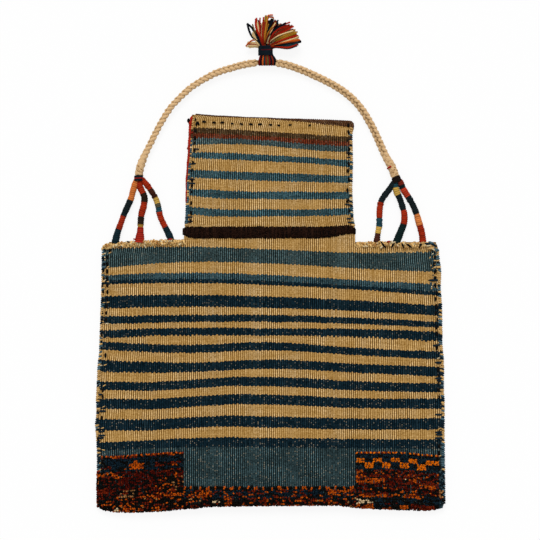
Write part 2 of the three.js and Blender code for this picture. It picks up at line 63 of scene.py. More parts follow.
class Shade:
    """One socket of a node tree. Arithmetic on it adds Math nodes, and node() adds any other node."""

    def __init__(self, tree, socket=None):
        self.tree = tree
        self.socket = socket

    def node(self, kind, settings=None, sockets=None, output=0):
        made = self.tree.nodes.new(kind)
        for name, value in (settings or {}).items():
            if name == "stops":
                self.fill_ramp(made.color_ramp, value)
            else:
                setattr(made, name, value)
        for key, value in (sockets or {}).items():
            if isinstance(value, Shade):
                self.tree.links.new(value.socket, made.inputs[key])
            else:
                made.inputs[key].default_value = value
        return Shade(self.tree, made.outputs[output])

    def fill_ramp(self, ramp, stops):
        ramp.interpolation = "CONSTANT"
        for place, colour in stops[1:]:
            ramp.elements.new(place).color = colour
        ramp.elements.remove(ramp.elements[len(ramp.elements) - 1])
        ramp.elements[0].position = stops[0][0]
        ramp.elements[0].color = stops[0][1]

    def math(self, operation, *values):
        return self.node("ShaderNodeMath", {"operation": operation}, dict(enumerate(values)))

    def __add__(self, other):
        return self.math("ADD", self, other)

    def __sub__(self, other):
        return self.math("SUBTRACT", self, other)

    def __rsub__(self, other):
        return self.math("SUBTRACT", other, self)

    def __mul__(self, other):
        return self.math("MULTIPLY", self, other)

    def __truediv__(self, other):
        return self.math("DIVIDE", self, other)

    def __rtruediv__(self, other):
        return self.math("DIVIDE", other, self)

    def __mod__(self, other):
        return self.math("FLOORED_MODULO", self, other)

    def __lt__(self, other):
        return self.math("LESS_THAN", self, other)

    def __gt__(self, other):
        return self.math("GREATER_THAN", self, other)

    def __abs__(self):
        return self.math("ABSOLUTE", self)

    __radd__ = __add__
    __rmul__ = __mul__

    def eased(self, low, high):
        span = {"From Min": low, "From Max": high, "Value": self}
        return self.node("ShaderNodeMapRange", {"interpolation_type": "SMOOTHSTEP"}, span)

    def part(self, axis):
        return self.node("ShaderNodeSeparateXYZ", {}, {0: self}, axis)

    def scaled(self, tone):
        return self.node("ShaderNodeVectorMath", {"operation": "SCALE"}, {0: self, "Scale": tone})

    def mixed(self, other, share):
        return self.node("ShaderNodeMix", {"data_type": "RGBA"}, {0: share, 6: self, 7: other}, 2)

    def into(self, socket):
        self.tree.links.new(self.socket, socket)


def seen_share(shade):
    """1 for what the camera sees directly or in a reflection, and 0 for the light on the object."""
    kinds = ("Is Camera Ray", "Is Glossy Ray", "Is Transmission Ray")
    camera_ray, glossy, through = [shade.node("ShaderNodeLightPath", output=kind) for kind in kinds]
    return shade.math("MINIMUM", camera_ray + glossy + through, 1.0)


camera = bpy.data.objects.new("camera", bpy.data.cameras.new("camera"))
camera.location = (VIEW_MIDDLE[0] * MM, VIEW_MIDDLE[1] * MM, EYE_HEIGHT * MM)
camera.data.angle = 2 * math.atan(VIEW_WIDTH / 2 / (EYE_HEIGHT - FRONT_HEIGHT))
bpy.context.collection.objects.link(camera)
bpy.context.scene.camera = camera
bpy.context.scene.view_settings.view_transform = "Standard"

sky = bpy.data.worlds.new("sky")
sky.use_nodes = True
bpy.context.scene.world = sky
sky_shade = Shade(sky.node_tree)
sky_seen = seen_share(sky_shade)
sky_strength = sky_seen + (1 - sky_seen) * SKY_SHARE
sky_light = sky_shade.node("ShaderNodeBackground", {}, {"Color": WHITE, "Strength": sky_strength})
sky_light.into(sky.node_tree.nodes["World Output"].inputs["Surface"])

lamp = bpy.data.objects.new("lamp", bpy.data.lights.new("lamp", "SUN"))
lamp.rotation_euler = (LAMP_TILT[0], LAMP_TILT[1], 0.0)
lamp.data.angle = LAMP_WIDTH
lamp.data.energy = (1 - SKY_SHARE) * math.pi / (math.cos(LAMP_TILT[0]) * math.cos(LAMP_TILT[1]))
bpy.context.collection.objects.link(lamp)

table_side = TABLE_SIDE * MM / 2
table_mesh = bpy.data.meshes.new("table")
table_corners = [(-1, -1), (1, -1), (1, 1), (-1, 1)]
table_points = [(x * table_side, y * table_side, -TABLE_DROP * MM) for x, y in table_corners]
table_mesh.from_pydata(table_points, [], [(0, 1, 2, 3)])
table_finish = bpy.data.materials.new("white_table")
table_finish.use_nodes = True
table_shade = Shade(table_finish.node_tree)
table_plain = table_shade.node("ShaderNodeBsdfDiffuse", {}, {"Color": TABLE_WHITE})
table_glow = table_shade.node("ShaderNodeEmission", {}, {"Color": WHITE, "Strength": 1.0})
table_share = seen_share(table_shade) * TABLE_GLOW
table_mixed = table_shade.node("ShaderNodeMixShader", {}, {0: table_share, 1: table_plain, 2: table_glow})
table_mixed.into(table_finish.node_tree.nodes["Material Output"].inputs["Surface"])
table_mesh.materials.append(table_finish)
table = bpy.data.objects.new("table", table_mesh)
bpy.context.collection.objects.link(table)

# The cloth: one long strip of weft-faced wool in sand, slate and navy stripes on stout warps.
# It is narrowed to a neck at the mouth and folded at the foot, so front, fold and back are one sheet.

CLEARANCE = 0.3
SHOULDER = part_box("shoulder_edging_left")[0][1] / MM - CLEARANCE
BODY_TOP = 374
BODY_FOOT = 383
BODY_HEIGHT = 290
CORNER = 3
NECK_TOP = 182
NECK_FOOT = 190
NECK_HEIGHT = 137
NECK_SHIFT = -1.5
CLOTH = 2.8
SWELL = 0.5
SEAM_GAP = 0.4
POCKET_GAP = 9
MOUTH_GAP = 7.5
FOLD_GAP = 6.5
SHOULDER_EASE = 90
FOLD_EASE = 80
PILE = 4
LEFT_RIBS = 40
NECK_RIBS = 84
RIGHT_RIBS = 41
RIB_STEPS = 3
HEM_RIB = 78
HEM_SLOPE = 0.155
RIB_DEPTH = 0.55
RIPPLE = 0.35
FOLD_ROWS = 9
BACK_ROWS = 13
BACK_START = 35
NECK_ROWS = 8
TOOTH = 0.4
PICK = 1.05
DARK_BELOW = 0.13
HEATHER_SIZE = 620.0
FIBRE_SIZE = 2600.0
WOOL_ROUGHNESS = 0.95
WOOL_SHINE = 0.03

# Where the edges of the body and of the neck lie: height, then place across.
BODY_LEFT = [
    (-290, -191), (-231, -190.4), (-200, -192.5), (-185, -190.9), (-174, -191.6), (-150, -190.4),
    (-134, -189.7), (-123, -188.1), (-77, -186.7), (-50, -185.6), (-10, -185.2), (-4, -183), (0, -178),
]
BODY_RIGHT = [
    (-290, 191.9), (-200, 191), (-176, 191.2), (-165, 190.3), (-130, 190.4), (-113, 188.7), (-70, 188.3),
    (-51, 186.8), (-30, 187.2), (-20, 185.6), (-8, 184.8), (0, 182.5),
]
NECK_LEFT = [
    (0, -95.8), (9, -95.6), (18, -93.8), (28, -92.9), (60, -92.2), (88, -90.4), (106, -88.8), (131, -87.6),
    (137, -86.6), (139.5, -84), (141.5, -81),
]
NECK_RIGHT = [
    (0, 93.4), (14, 93.2), (27, 90.6), (57, 89.3), (87, 90.1), (120, 89.5), (127, 91.2), (130.5, 91),
    (132.5, 89.4), (134, 85),
]

WOOL = {
    "sand": 0xBD965A,
    "slate": 0x364748,
    "navy": 0x0F242E,
    "blue": 0x355056,
    "dusk": 0x334A50,
    "mist": 0x425353,
    "panel": 0x2E4043,
    "brown": 0x4F3921,
    "rust": 0x6C2F1A,
    "umber": 0x5A3A24,
    "faded": 0xCFBD9C,
    "pale_sand": 0xDCC49A,
    "pale_blue": 0x6C8E98,
}

# Each stripe: its yarn, its width, and how far its lower edge strays from level at the left edge, the left
# quarter, the middle, the right quarter and the right edge.
MOUTH_STRAY = (4, 0.6, -1.4, -2.9, -4.3)
NECK_STRIPES = [
    ("sand", 4, (4.3, 1.6, -0.7, -2.3, -4.4)),
    ("sand", 11.6, (5.7, 2.9, 0, -3, -5.2)),
    ("brown", 5.3, (5, 2.6, 0, -3, -5.5)),
    ("rust", 4.7, (3.4, 2.3, 0, -3.9, -6)),
    ("mist", 5.7, (1.5, 2.1, 0, -4.6, -6.3)),
    ("sand", 10, (3.6, 2.7, 0, -2.5, -5.4)),
    ("blue", 7.3, (4.3, 2.2, 0.3, -2.2, -7)),
    ("sand", 11.9, (4, 1.6, 0, -1.7, -3.9)),
    ("blue", 9.6, (4.4, 1.9, 0, -1.1, -2)),
    ("sand", 11.6, (4.3, 1.2, 0.1, 0.1, -0.3)),
    ("blue", 7.8, (4.3, 0.5, 0, -0.5, 0.4)),
    ("sand", 11.4, (4.2, -0.4, 0, 0.1, 2.3)),
    ("blue", 7.6, (2.3, -0.5, -0.3, 0, 2.1)),
]
SHOULDER_STRAY = (-3, -0.4, 0, -1, -2.4)
BODY_STRIPES = [
    ("sand", 7.1, (0.8, 2.8, -0.1, -3.8, -1.9)),
    ("slate", 15.9, (-6.2, 1.6, 0.1, -5.3, -9.4)),
    ("sand", 12.7, (-0.7, 2.4, 0.2, -5.5, -10.3)),
    ("dusk", 6.3, (0.4, 2.3, 0.1, -5.2, -11.3)),
    ("navy", 5.2, (0.8, 2.3, 0.2, -4.9, -12.1)),
    ("sand", 11.9, (0.4, 2, 0.2, -4.2, -10.4)),
    ("navy", 12.6, (-0.9, 1.5, 0, -3.5, -9.2)),
    ("sand", 7.9, (-1.6, 0.1, 0.4, -3, -7.6)),
    ("navy", 7.8, (-2.3, 0.2, 0.5, -2, -6.7)),
    ("sand", 7.3, (-2, 0.7, 0.5, -0.5, -3.6)),
    ("navy", 7.8, (-3.7, 1, 0.1, -0.8, -6.5)),
    ("sand", 6.4, (0.8, -3.2, -0.1, -6.4, -10.7)),
    ("navy", 9.1, (0.9, -2.9, -0.2, -5.6, -10.7)),
    ("sand", 11, (-0.3, -3.4, 0, -4.6, -8.5)),
    ("navy", 9.3, (-3.4, -3.9, 0, -4.2, -9.1)),
    ("sand", 9.1, (-5.4, -3.4, 0.2, -4.7, -7.3)),
    ("navy", 11, (-4.4, -2.7, -0.1, -4.6, -7)),
    ("sand", 9, (-5, -2.4, 0, -4.1, -4.3)),
    ("navy", 10.9, (-5, -2.5, 0.2, -3.5, -4.9)),
    ("sand", 12.1, (-3.7, -1.3, -0.2, -2.7, -2.3)),
    ("navy", 12.7, (-4, -0.6, 0, -2.4, -2.3)),
    ("sand", 11.3, (-5.9, -0.5, 0.1, -1.2, -2.2)),
    ("navy", 10.4, (-4.4, -0.4, 0, -1.2, -2.2)),
]
# The lowest stripes also dip and rise on the left: share across, then height. This wave comes in and dies
# out between two depths below the shoulders.
LOW_WAVE = [(-0.95, 0), (-0.7, -1.9), (-0.47, 0), (-0.24, 1.3), (0, 0)]
LOW_WAVE_TOP = (136, 152)
LOW_WAVE_FOOT = (204, 226)
FOOT_STRAY = (-9, -5, -2.2, -3.4, -7)
# How far the folded foot sags: place across, then height.
FOOT_LINE = [
    (-192, -4.7), (-187.5, -6.7), (-183, -8.3), (-172, -10.3), (-155, -10.9), (-126, -9.8), (-111, -8.7),
    (-99, -7.2), (-80, -6.1), (-71, -4.5), (-46, -3.9), (-11, -3.4), (32, -3.2), (59, -2.9), (77, -3.2),
    (97, -5.8), (112, -6.7), (138, -7.9), (157, -8), (165, -8.8), (178, -8.4), (184, -7.1), (191, -5.2),
]


def dye(code):
    """A yarn's colour as the shader takes it, from its usual six-digit colour code."""
    channels = [((code >> shift) & 255) / 255 for shift in (16, 8, 0)]
    return tuple(((c + 0.055) / 1.055) ** 2.4 if c > 0.04 else c / 12.92 for c in channels) + (1.0,)


def ease(value, low, high):
    share = np.clip((value - low) / (high - low), 0, 1)
    return share * share * (3 - 2 * share)


def lerp(first, last, share):
    return first + (last - first) * share


def body_half(y):
    return lerp(BODY_TOP, BODY_FOOT, ease(-y, 0, BODY_HEIGHT)) / 2


def neck_half(y):
    return lerp(NECK_FOOT, NECK_TOP, ease(y, 0, NECK_HEIGHT)) / 2


def edge_place(line, y):
    heights, places = zip(*line)
    return np.interp(y, heights, places)


def body_edge(side, y):
    return edge_place(BODY_LEFT if side < 0 else BODY_RIGHT, y)


def neck_edge(side, y):
    return edge_place(NECK_LEFT if side < 0 else NECK_RIGHT, y)


def layer_gap(x, y):
    """Room between the front and the back layer of the cloth."""
    widening = ease(-y, 0, SHOULDER_EASE)
    open_half = lerp(neck_half(y), body_half(y), widening)
    middle = lerp(NECK_SHIFT, 0, widening)
    below = lerp(FOLD_GAP, POCKET_GAP, ease(y + BODY_HEIGHT, 0, FOLD_EASE))
    above = lerp(POCKET_GAP, MOUTH_GAP, ease(y, 0, NECK_HEIGHT))
    rise = np.where(y > 0, above, below)
    return SEAM_GAP + rise * np.maximum(0, 1 - ((x - middle) / open_half) ** 2)


def front_top(x, y):
    """Height of the front's outer face."""
    return 2 * CLOTH + layer_gap(x, y)


def stray_at(stray, across):
    """Height of a stripe's edge at a share across the cloth, on a smooth line through its five places."""
    knots = np.asarray(stray, float)
    slopes = np.gradient(knots, edge_order=2)
    place = np.clip((np.asarray(across) + 1) * 2, 0, 4)
    knot = np.minimum(place.astype(int), 3)
    t = place - knot
    chord = lerp(knots[knot], knots[knot + 1], t * t * (3 - 2 * t))
    return chord + t * (1 - t) * (slopes[knot] * (1 - t) - slopes[knot + 1] * t)


def fold_radius(x):
    return (CLOTH + layer_gap(x, -BODY_HEIGHT)) / 2


def fold_height(x):
    half = body_half(-BODY_HEIGHT)
    in_corner = np.maximum(0, np.abs(x) - half + CORNER)
    rounding = CORNER - np.sqrt(np.maximum(0, CORNER**2 - in_corner**2))
    outside = fold_radius(x) + CLOTH / 2 + SWELL + CLEARANCE + PILE
    return -BODY_HEIGHT + outside + rounding + edge_place(FOOT_LINE, x)


def around_fold(x, angle, offset):
    """A point round the folded foot, that far out from the middle of the cloth."""
    radius = fold_radius(x)
    reach = radius + offset
    across = np.broadcast_to(x, np.shape(reach))
    return np.stack([
        across,
        fold_height(x) - reach * np.sin(angle),
        CLOTH / 2 + radius + reach * np.cos(angle),
    ], axis=-1)


def rib_place(rib, y):
    """Where a rib of the weave lies across the cloth at a height."""
    left = neck_edge(-1, y)
    right = neck_edge(1, y)
    neck_end = LEFT_RIBS + NECK_RIBS
    beside = lerp(body_edge(-1, y), left, rib / LEFT_RIBS)
    between = lerp(left, right, (rib - LEFT_RIBS) / NECK_RIBS)
    beyond = lerp(right, body_edge(1, y), (rib - neck_end) / RIGHT_RIBS)
    return np.where(rib < LEFT_RIBS, beside, np.where(rib < neck_end, between, beyond))


def stripe_edges(stripes, top, first_stray, last_yarn):
    """The upper edge of each stripe, from top down: its height, its stray and its yarn."""
    edges = []
    height = top
    stray = first_stray
    for yarn, width, lower_stray in stripes:
        edges.append((height, stray, yarn))
        height = height - width
        stray = lower_stray
    edges.append((height, stray, last_yarn))
    return edges


neck_edges = stripe_edges(NECK_STRIPES, NECK_HEIGHT, MOUTH_STRAY, "sand")
body_edges = stripe_edges(BODY_STRIPES, 0, SHOULDER_STRAY, "panel")
stripe_tops = neck_edges + body_edges + [(-BODY_HEIGHT + 3 * CORNER, FOOT_STRAY, "panel")]

rib_count = LEFT_RIBS + NECK_RIBS + RIGHT_RIBS
ribs = np.arange(rib_count * RIB_STEPS + 1) / RIB_STEPS
groove = np.where(np.arange(len(ribs)) % RIB_STEPS == 0, RIB_DEPTH, 0.0)


def low_wave(height, across):
    size = ease(-height, *LOW_WAVE_TOP) * (1 - ease(-height, *LOW_WAVE_FOOT))
    return edge_place(LOW_WAVE, across) * size


def front_row(height, stray, swell):
    half = neck_half(height) if height > 0 else body_half(height)
    across = rib_place(ribs, height) / half
    y = height + stray_at(stray, across) + low_wave(height, across)
    x = rib_place(ribs, y)
    ripple = RIPPLE * np.sin(x / 23 + y / 31) * np.sin(y / 47 - x / 61 + 1.3)
    return np.stack([x, y, front_top(x, y) + swell - groove + ripple], axis=-1)


def back_row(height):
    x = rib_place(ribs, height)
    y = height + stray_at(MOUTH_STRAY, x / neck_half(height)) * ease(height, NECK_HEIGHT / 2, NECK_HEIGHT)
    return np.stack([x, y, groove], axis=-1)


rows = []
for (height, stray, yarn), (next_height, next_stray, _) in zip(stripe_tops, stripe_tops[1:]):
    halfway = (height + next_height) / 2
    between = tuple(np.add(stray, next_stray) / 2)
    rows.append((height, front_row(height, stray, 0)))
    rows.append((halfway, front_row(halfway, between, 0 if yarn == "sand" else SWELL)))
foot_x = rib_place(ribs, -BODY_HEIGHT)
for angle in np.linspace(0, math.pi, FOLD_ROWS):
    rows.append((-BODY_HEIGHT, around_fold(foot_x, angle, CLOTH / 2 - groove)))
back_heights = np.linspace(-BODY_HEIGHT + BACK_START, 0, BACK_ROWS)
for height in [*back_heights, *np.linspace(0, NECK_HEIGHT, NECK_ROWS)[1:]]:
    rows.append((height, back_row(height)))

columns = len(ribs)
cloth_points = np.concatenate([points for _, points in rows])
# Each point's place in the weave, for the material: the rib that it lies on and the height of its weft.
weave = np.concatenate([
    np.stack([ribs, np.full(columns, height), np.zeros(columns)], axis=-1) for height, _ in rows
])
cloth_faces = []
for row in range(len(rows) - 1):
    in_neck = max(rows[row][0], rows[row + 1][0]) > 0
    first = LEFT_RIBS * RIB_STEPS if in_neck else 0
    last = (LEFT_RIBS + NECK_RIBS) * RIB_STEPS if in_neck else columns - 1
    left = row * columns + np.arange(first, last)
    cloth_faces.append(np.stack([left, left + columns, left + columns + 1, left + 1], axis=-1))
cloth_faces = np.concatenate(cloth_faces)
used, cloth_faces = np.unique(cloth_faces, return_inverse=True)
cloth_faces = cloth_faces.reshape(-1, 4)
cloth_points = cloth_points[used]
weave = weave[used]


def wool_finish(name):
    """A matte wool material, with its node tree and the sockets of its surface."""
    finish = bpy.data.materials.new(name)
    finish.use_nodes = True
    surface = finish.node_tree.nodes["Principled BSDF"].inputs
    surface["Roughness"].default_value = WOOL_ROUGHNESS
    surface["Specular IOR Level"].default_value = WOOL_SHINE
    return finish, Shade(finish.node_tree), surface


def stripe_ramp(shade, edges, top, depth, weft):
    """The yarn of each stripe, by how far below top the weft lies."""
    stops = [((top - height) / depth, dye(WOOL[yarn])) for height, _, yarn in edges]
    return shade.node("ShaderNodeValToRGB", {"stops": stops}, {0: (top - weft) / depth})


def weave_noise(shade, across, along, detail):
    """Noise that drifts over the weave, by its place across and along the ribs."""
    field = shade.node("ShaderNodeCombineXYZ", {}, {0: across, 1: along})
    return shade.node("ShaderNodeTexNoise", {}, {"Vector": field, "Scale": 1.0, "Detail": detail})


def fibre_noise(shade, size, detail):
    """Noise at the size of fibres, over the whole piece."""
    spot = shade.node("ShaderNodeTexCoord", {}, {}, "Object")
    return shade.node("ShaderNodeTexNoise", {}, {"Vector": spot, "Scale": size, "Detail": detail})


def striped_weave():
    finish, shade, surface = wool_finish("striped_weave")
    place = shade.node("ShaderNodeAttribute", {"attribute_name": "weave"}, {}, "Vector")
    rib = place.part("X")
    weft = place.part("Y")
    rib_number = shade.math("FLOOR", rib)
    off_crest = abs((rib - rib_number) * 2 - 1)
    crest = 1 - off_crest * off_crest
    odd = rib_number % 2
    rib_luck = shade.node("ShaderNodeTexWhiteNoise", {"noise_dimensions": "1D"}, {"W": rib_number})

    # Neighbouring warps lift the weft by turns, so each stripe's edge is a row of small rounded teeth.
    waver = weave_noise(shade, rib * 0.16, weft * 0.12, 2.0)
    tooth = (odd * 2 - 1) * crest * TOOTH + (rib_luck - 0.5) * 0.5 + (waver - 0.5) * 2.2
    edge = weft + tooth
    neck = stripe_ramp(shade, neck_edges, NECK_HEIGHT, NECK_HEIGHT, edge)
    body = stripe_ramp(shade, body_edges, 0, BODY_HEIGHT, edge)
    yarn = body.mixed(neck, edge > 0)
    # A wedge of umber wool fills the mouth's edge from its middle to the right.
    hem = shade.math("MAXIMUM", (rib - HEM_RIB) * HEM_SLOPE, 0.0) > (NECK_HEIGHT - edge)
    yarn = yarn.mixed(dye(WOOL["umber"]), hem)
    light = shade.node("ShaderNodeRGBToBW", {}, {0: yarn})
    is_dark = light < DARK_BELOW
    cool = yarn.part("Z") > yarn.part("X")

    # Painted shade and highlight: each rib's valley is painted darker and its crest lighter, strongly in
    # some places and faintly in others. The crests are also mixed towards a paler yarn, which is partly wear
    # from rubbing and partly a painted highlight.
    sharp = weave_noise(shade, rib * 0.07, weft * 0.045, 1.0).eased(0.34, 0.62)
    pull = weave_noise(shade, rib_number * 3.7, weft * 0.06, 2.0)
    depth = 1 + (is_dark - cool) * 0.7 + cool * light.eased(0.01, 0.045) * 1.8
    rib_shade_strength = (0.34 + sharp * 0.58) * (0.5 + pull) * depth
    painted_rib_shade = shade.math("MAXIMUM", 1 + (crest * crest * 1.875 - 1) * rib_shade_strength, 0.05)
    rubbed_and_highlight = crest * crest * crest * pull.eased(0.4, 0.75) * (0.04 + sharp * 0.08)
    crest_wear_and_highlight_dye = shade.node("ShaderNodeMix", {"data_type": "RGBA"}, {
        0: cool, 6: dye(WOOL["pale_sand"]), 7: dye(WOOL["pale_blue"]),
    }, 2)

    # Dye that took unevenly along each weft, and fibres of more than one shade in each yarn.
    uneven = weave_noise(shade, rib * 0.045, weft * 0.8, 3.0)
    heather = fibre_noise(shade, HEATHER_SIZE, 3.0)
    mottled = 1 + (heather - 0.5) * (1.5 + is_dark * 2)
    tone = painted_rib_shade * (0.5 + uneven * 0.6) * mottled * (0.9 + rib_luck * 0.2) * (1 - is_dark * 0.16)
    # The sand wool is a deeper gold where it is in shade, and the dark yarns keep their hue.
    gold = 1 - is_dark
    toned = shade.node("ShaderNodeCombineXYZ", {}, {
        0: tone, 1: shade.math("POWER", tone, 1 + gold * 0.27), 2: shade.math("POWER", tone, 1 + gold),
    })
    cloth_colour = shade.node("ShaderNodeVectorMath", {"operation": "MULTIPLY"}, {0: yarn, 1: toned})
    # Painted highlight and wear: the rib crests are mixed towards the pale yarn.
    cloth_colour = cloth_colour.mixed(crest_wear_and_highlight_dye, rubbed_and_highlight)

    # Stray pale fibres where the dark wefts have worn thin.
    pick = shade.math("FLOOR", weft / PICK + rib_luck * 3)
    cell = shade.node("ShaderNodeCombineXYZ", {}, {0: rib_number, 1: pick})
    chance = shade.node("ShaderNodeTexWhiteNoise", {"noise_dimensions": "2D"}, {"Vector": cell})
    slim = is_dark * (1 - off_crest.eased(0.05, 0.45))
    worn = chance.eased(0.86, 1.0) * slim * (0.54 - weft.eased(-230, -40) * 0.22)
    cloth_colour.mixed(dye(WOOL["faded"]), worn).into(surface["Base Color"])

    # The wefts pass over and under the warps, which makes a bead of each.
    bead = shade.math("SINE", weft * 5.6 + odd * math.pi)
    fibre = fibre_noise(shade, FIBRE_SIZE, 2.0)
    bump = {"Height": bead * 0.5 + fibre, "Strength": 0.5, "Distance": 0.25 * MM}
    shade.node("ShaderNodeBump", {}, bump).into(surface["Normal"])
    return finish


def add_piece(name, points, faces, finish, slot, *nodes):
    """A mesh piece from points counted from the middle of the shoulder line, in place of CAD nodes."""
    mesh = bpy.data.meshes.new(name)
    placed = (np.asarray(points) + (0, SHOULDER, 0)) * MM
    mesh.from_pydata(placed.tolist(), [], faces)
    mesh.polygons.foreach_set("use_smooth", np.ones(len(mesh.polygons), bool))
    mesh.materials.append(finish)
    piece = bpy.data.objects.new(name, mesh)
    bpy.context.collection.objects.link(piece)
    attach(piece, "root")
    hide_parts(*nodes)
    return piece


cloth = add_piece(
    "woven_cloth", cloth_points, cloth_faces.tolist(), striped_weave(), "striped_weave",
    "bag_cloth", "bag_cloth_back",
)
weave_layer = cloth.data.attributes.new("weave", "FLOAT_VECTOR", "POINT")
weave_layer.data.foreach_set("vector", weave.astype(np.float32).ravel())
thickness = cloth.modifiers.new("thickness", "SOLIDIFY")
thickness.thickness = (CLOTH - RIB_DEPTH) * MM
thickness.offset = -1

# The dark band: close upright stitches of dark-brown wool, side by side across the foot of the neck and
# felted with wear. It narrows at both ends, where it is sewn into the edges.

BAND_LEFT = -95.7
BAND_RIGHT = 93
BAND_FOOT = 4.4
BAND_TOP = 16.5
BAND_PITCH = 1.15
BAND_YARN = 1.15
BAND_SWELL = 1.6
BAND_SUNK = 0.3
BAND_STEPS = 7
BAND_FIBRES = 900
BAND_FIBRE = 0.3
BAND_DYES = [dye(0x150D0A), dye(0x0B0706), dye(0x26160F)]
PLY_RELIEF = 0.16

luck = np.random.default_rng(11)


def distances(line):
    """How far along a line each of its points lies."""
    spans = np.linalg.norm(np.diff(line, axis=0), axis=1)
    return np.concatenate([[0], np.cumsum(spans)])


def even_path(line, step):
    """The same line with its points at an even distance."""
    along = distances(line)
    places = np.linspace(0, along[-1], max(2, round(along[-1] / step) + 1))
    return np.stack([np.interp(places, along, line[:, axis]) for axis in range(3)], axis=-1)


def smooth_path(points, step):
    """A smooth line through points, at an even step."""
    points = np.asarray(points, float)
    padded = np.vstack([2 * points[0] - points[1], points, 2 * points[-1] - points[-2]])
    t = np.linspace(0, 1, 12, endpoint=False)[:, None]
    bends = [
        b + 0.5 * t * (c - a + t * (2 * a - 5 * b + 4 * c - d + t * (3 * (b - c) + d - a)))
        for a, b, c, d in zip(padded, padded[1:], padded[2:], padded[3:])
    ]
    return even_path(np.vstack([*bends, points[-1:]]), step)


def unit(vectors):
    return vectors / np.linalg.norm(vectors, axis=-1, keepdims=True)


def tube(path, radius, sides=6, plies=0, lay=7.0):
    """A closed length of yarn along a path, as points and faces. Its plies turn once round it in a lay."""
    path = np.asarray(path, float)
    ahead = unit(np.gradient(path, axis=0))
    upright = (0.0, 0.0, 1.0) if abs(ahead[0][2]) < 0.9 else (1.0, 0.0, 0.0)
    across = [unit(np.cross(ahead[0], upright))]
    for direction in ahead[1:]:
        across.append(unit(across[-1] - direction * np.dot(across[-1], direction)))
    across = np.array(across)
    above = np.cross(across, ahead)
    angle = np.linspace(0, 2 * math.pi, sides, endpoint=False)
    width = np.broadcast_to(radius, len(path))[:, None] * np.ones(sides)
    if plies:
        twist = 2 * math.pi * distances(path)[:, None] / lay
        width = width * (1 + PLY_RELIEF * np.cos(plies * (angle - twist)))
    ring = across[:, None] * np.cos(angle)[None, :, None] + above[:, None] * np.sin(angle)[None, :, None]
    points = (path[:, None] + ring * width[:, :, None]).reshape(-1, 3)
    start = np.arange(len(path) - 1)[:, None] * sides
    this = np.arange(sides)
    after = (this + 1) % sides
    quads = np.stack([start + this, start + sides + this, start + sides + after, start + after], axis=-1)
    last = (len(path) - 1) * sides
    faces = quads.reshape(-1, 4).tolist()
    faces.append(list(range(sides)))
    faces.append(list(range(last + sides - 1, last - 1, -1)))
    return points, faces


class Bundle:
    """Lengths of yarn gathered in one mesh, with the dye of each."""

    def __init__(self):
        self.points = []
        self.faces = []
        self.dyes = []
        self.count = 0

    def add(self, yarn, colour):
        points, faces = yarn
        colours = np.asarray(colour, float).reshape(-1, 4)
        self.points.append(points)
        self.faces += [[corner + self.count for corner in face] for face in faces]
        self.dyes.append(np.repeat(colours, len(points) // len(colours), axis=0))
        self.count += len(points)

    def piece(self, name, finish, slot, *nodes):
        made = add_piece(name, np.concatenate(self.points), self.faces, finish, slot, *nodes)
        layer = made.data.attributes.new("dye", "FLOAT_COLOR", "POINT")
        layer.data.foreach_set("color", np.concatenate(self.dyes).astype(np.float32).ravel())
        return made


def vary(colour, spread=0.18):
    """The same dye a little lighter or darker, as no two lengths of yarn took it alike."""
    tone = 1 + luck.uniform(-spread, spread)
    return tuple(channel * tone for channel in colour[:3]) + (1.0,)


def dyed_wool(name, fibre_size, contrast):
    """Wool in the dye that each point carries, mottled and rough at the size of its fibres."""
    finish, shade, surface = wool_finish(name)
    yarn = shade.node("ShaderNodeAttribute", {"attribute_name": "dye"}, {}, "Color")
    fibre = fibre_noise(shade, fibre_size, 3.0)
    yarn.scaled(1 - contrast / 2 + fibre * contrast).into(surface["Base Color"])
    bump = {"Height": fibre, "Strength": 0.6, "Distance": 0.3 * MM}
    shade.node("ShaderNodeBump", {}, bump).into(surface["Normal"])
    return finish


def wander(along, size, length):
    """A slow random waver."""
    first, second = luck.uniform(0, 2 * math.pi, 2)
    return size * (np.sin(along / length + first) + 0.6 * np.sin(along / length * 2.3 + second))


def band_top(x):
    return BAND_TOP + 1.6 * ease(x, 60, 84) - 4 * ease(x, 86, 94) - 2.2 * ease(-x, 90, 96.5)


def band_foot(x):
    return BAND_FOOT + 1.5 * ease(-x, 84, 92) + 2 * ease(-x, 90, 96.5) + 4.9 * ease(x, 55, 89)


def on_band(x, share):
    """A point on the band, by the share of the way up from its foot."""
    y = lerp(band_foot(x), band_top(x), share)
    swell = BAND_SWELL * np.sin(share * math.pi)
    return np.stack([x + 0 * share, y, front_top(x, y) + swell - BAND_SUNK], axis=-1)


band = Bundle()
for x in np.arange(BAND_LEFT, BAND_RIGHT, BAND_PITCH):
    share = np.linspace(0, 1, BAND_STEPS)
    path = on_band(x, share)
    path[:, 0] += luck.normal(0, 0.7) * (share - 0.5)
    path[:, 1] += luck.normal(0, 0.3)
    band.add(tube(path, BAND_YARN * luck.uniform(0.85, 1.15)), vary(BAND_DYES[luck.integers(3)], 0.3))
for _ in range(BAND_FIBRES):
    middle = on_band(luck.uniform(BAND_LEFT + 2, BAND_RIGHT - 3), luck.uniform(0.1, 0.9)) + (0, 0, BAND_YARN)
    turn = luck.uniform(0, 2 * math.pi)
    reach = np.array([math.cos(turn), math.sin(turn), -0.2]) * luck.uniform(0.7, 1.8)
    band.add(tube([middle - reach, middle, middle + reach], BAND_FIBRE, 4), vary(BAND_DYES[2], 0.6))
band.piece("felted_band", dyed_wool("band_wool", 1100.0, 0.9), "dark_brown_wool", "neck_band")

# The knotted pile: short tufts of wool tied round pairs of warps, in a block at each lower corner and a
# strip between them, which all turn under the fold. Worn orange and cream motifs lie on rust and navy.

KNOT_ACROSS = 2.4
KNOT_DOWN = 1.6
KNOT_WIDENING = 1.4
# A tuft from root to tip: how far out, how far over and how thick.
TUFT = [(-0.3, 0.0, 0.75), (0.9, 0.2, 0.95), (1.7, 0.7, 0.9), (2.1, 1.4, 0.55)]
BLOCK_TOP = -231
STRIP_TOP = -269
PILE_LEFT = -186.5
PILE_RIGHT = 185
